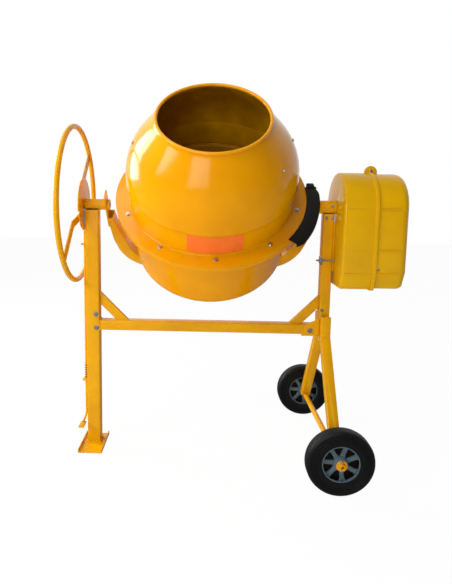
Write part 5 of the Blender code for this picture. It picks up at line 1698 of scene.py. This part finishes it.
@dataclass
class SwitchPanel:
    """The switch box with its two buttons and the power inlet."""

    edge: float = 0.0022
    inlet_edge: float = 0.0012
    button_edge: float = 0.0010

    def build(self) -> None:
        """Build and dress the switch."""
        for node, name, edge, segments, finish, body in (
                ("switch_box", "switch_moulding", self.edge, 3, BLACK_PP, "frame"),
                ("power_inlet", "power_inlet_moulding", self.inlet_edge, 2, BLACK_PP, "frame"),
                ("start_button", "green_push_button", self.button_edge, 3, GREEN_BUTTON,
                 "start_push"),
                ("stop_button", "red_push_button", self.button_edge, 3, RED_BUTTON,
                 "stop_push")):
            fit_node(node, name, edge, segments, finish, body)


# ---------------------------------------------------------------- the studio
@dataclass
class Studio:
    """Floor, backdrop, lamps and camera."""

    place: tuple[float, float, float] = (0.368, -1.694, 0.8725)
    pitch: float = math.radians(7.1738)
    yaw: float = math.radians(-2.1612)
    roll: float = math.radians(0.657)
    lens: float = 31.26
    shift: tuple[float, float] = (0.0737, -0.059)
    floor_glow: float = 0.965       # share of the floor that is seen as plain white
    floor_shine: float = 0.22       # how bright the floor is in reflections
    front_shine: float = 0.10       # how bright the room behind the camera is in reflections
    even_light: float = 0.30        # strength of the tent overhead
    left_tent: float = 1.7          # the tent's share on the left
    right_tent: float = 0.25        # and on the right
    floor_reach: float = 7.0
    floor_steps: int = 14
    aim: tuple[float, float, float] = (0.4, 0.0, 0.7)       # what the lamps look at
    sensor: float = 36.0

    def build(self) -> None:
        """Set the whole studio up."""
        self.floor()
        self.world()
        self.lamps()
        self.camera()
        settings = bpy.context.scene.view_settings
        settings.view_transform = "Standard"

    def rays(self, tree: bpy.types.NodeTree) -> Rays:
        """What kind of ray asks.

        Args:
            tree: The shader tree.

        Returns:
            One for a camera or transmission ray, and one for a glossy ray.
        """
        path = add_node(tree, "ShaderNodeLightPath")
        seen = add_node(tree, "ShaderNodeMath", {0: path.outputs["Is Camera Ray"],
                                                 1: path.outputs["Is Transmission Ray"]},
                        operation="MAXIMUM")
        return seen.outputs[0], path.outputs["Is Glossy Ray"]

    def white(self, name: str, colour: str) -> bpy.types.Material:
        """A pale matt surface that the camera sees as plain white.

        Args:
            name: The material's name.
            colour: The colour under the lamps.

        Returns:
            The material.
        """
        made = bpy.data.materials.new(name)
        made.use_nodes = True
        tree = made.node_tree
        tree.nodes.clear()
        seen, glossy = self.rays(tree)
        both = add_node(tree, "ShaderNodeMath", {0: seen, 1: glossy}, operation="MAXIMUM")
        share = add_node(tree, "ShaderNodeMath", {0: both.outputs[0], 1: self.floor_glow},
                         operation="MULTIPLY")
        level = add_node(tree, "ShaderNodeMapRange", {
            "Value": seen, "To Min": self.floor_shine, "To Max": 1.0})
        matt = add_node(tree, "ShaderNodeBsdfDiffuse", {"Color": linear(colour)})
        glow = add_node(tree, "ShaderNodeEmission", {"Color": linear("#FFFFFF"),
                                                     "Strength": level.outputs[0]})
        mixed = add_node(tree, "ShaderNodeMixShader", {0: share.outputs[0],
                                                       1: matt.outputs[0], 2: glow.outputs[0]})
        add_node(tree, "ShaderNodeOutputMaterial", {"Surface": mixed.outputs[0]})
        return made

    def floor(self) -> None:
        """A wide pale floor."""
        bm = bmesh.new()
        bmesh.ops.create_grid(bm, x_segments=self.floor_steps, y_segments=self.floor_steps,
                              size=self.floor_reach)
        mesh = bpy.data.meshes.new("studio_floor")
        bm.to_mesh(mesh)
        bm.free()
        floor = bpy.data.objects.new("studio_floor", mesh)
        bpy.context.scene.collection.objects.link(floor)
        mesh.transform(Matrix.Translation((0.4, 1.0, -0.0004)))
        mesh.materials.append(self.white("studio_floor_white", "#FFFFFF"))

    def world(self) -> None:
        """A light tent, brighter on the left, that the camera sees as plain white.

        In reflections it is dim behind the camera and bright behind the mixer.
        """
        world = bpy.data.worlds.new("studio_light")
        bpy.context.scene.world = world
        world.use_nodes = True
        tree = world.node_tree
        tree.nodes.clear()
        seen, glossy = self.rays(tree)
        way = add_node(tree, "ShaderNodeTexCoord")
        parts = add_node(tree, "ShaderNodeSeparateXYZ", {0: way.outputs["Generated"]})
        room = add_node(tree, "ShaderNodeMapRange", {
            "Value": parts.outputs[1], "From Min": -0.15, "From Max": 0.45,
            "To Min": self.front_shine, "To Max": 1.0})
        tent = add_node(tree, "ShaderNodeMapRange", {
            "Value": parts.outputs[0], "From Min": -0.9, "From Max": 0.9,
            "To Min": self.even_light * self.left_tent,
            "To Max": self.even_light * self.right_tent})
        unseen = add_node(tree, "ShaderNodeMix", {0: glossy, 2: tent.outputs[0],
                                                  3: room.outputs[0]}, data_type="FLOAT")
        level = add_node(tree, "ShaderNodeMix", {0: seen, 2: unseen.outputs[0], 3: 1.0},
                         data_type="FLOAT")
        glow = add_node(tree, "ShaderNodeBackground", {"Color": linear("#FFFFFF"),
                                                       "Strength": level.outputs[0]})
        add_node(tree, "ShaderNodeOutputWorld", {"Surface": glow.outputs[0]})

    def lamps(self) -> None:
        """Soft boxes: a key from the left, front and top boxes, and one for the left edge."""
        for name, place, size, power in (
                ("key_box", (-2.1, -1.6, 1.9), (1.1, 1.1), 34.0),
                ("front_box", (-0.5, -3.2, 1.3), (1.4, 1.4), 28.0),
                ("edge_box", (-2.3, 1.1, 1.6), (1.3, 1.5), 64.0),
                ("top_box", (-0.3, -0.9, 3.0), (1.8, 1.8), 22.0)):
            lamp = bpy.data.lights.new(name, "AREA")
            lamp.shape = "RECTANGLE"
            lamp.size, lamp.size_y = size
            lamp.energy = power
            holder = bpy.data.objects.new(name, lamp)
            holder.location = place
            aim = Vector(self.aim) - Vector(place)
            holder.rotation_euler = aim.to_track_quat("-Z", "Y").to_euler()
            bpy.context.scene.collection.objects.link(holder)

    def camera(self) -> None:
        """The camera, level with the drum and turned slightly to it."""
        forward = Vector((math.sin(self.yaw) * math.cos(self.pitch),
                          math.cos(self.yaw) * math.cos(self.pitch), -math.sin(self.pitch)))
        right = forward.cross(Z_AXIS).normalized()
        down = forward.cross(right)
        turned_right = right * math.cos(self.roll) - down * math.sin(self.roll)
        turned_down = right * math.sin(self.roll) + down * math.cos(self.roll)
        matrix = Matrix((turned_right, -turned_down, -forward)).transposed().to_4x4()
        matrix.translation = Vector(self.place)
        data = bpy.data.cameras.new("studio_camera")
        data.lens = self.lens
        data.sensor_width = self.sensor
        data.shift_x, data.shift_y = self.shift
        camera = bpy.data.objects.new("studio_camera", data)
        camera.matrix_world = matrix
        bpy.context.scene.collection.objects.link(camera)
        bpy.context.scene.camera = camera


def main() -> None:
    """Build every sub-assembly in order."""
    logging.basicConfig(level=logging.INFO, format="%(name)s %(message)s")
    for part in (Stand(), RunningGear(), Drum(), Yoke(), TiltControl(), Housing(),
                 SwitchPanel()):
        LOG.info("building %s", type(part).__name__)
        part.build()
    Studio().build()


if __name__ == "__main__":
    main()
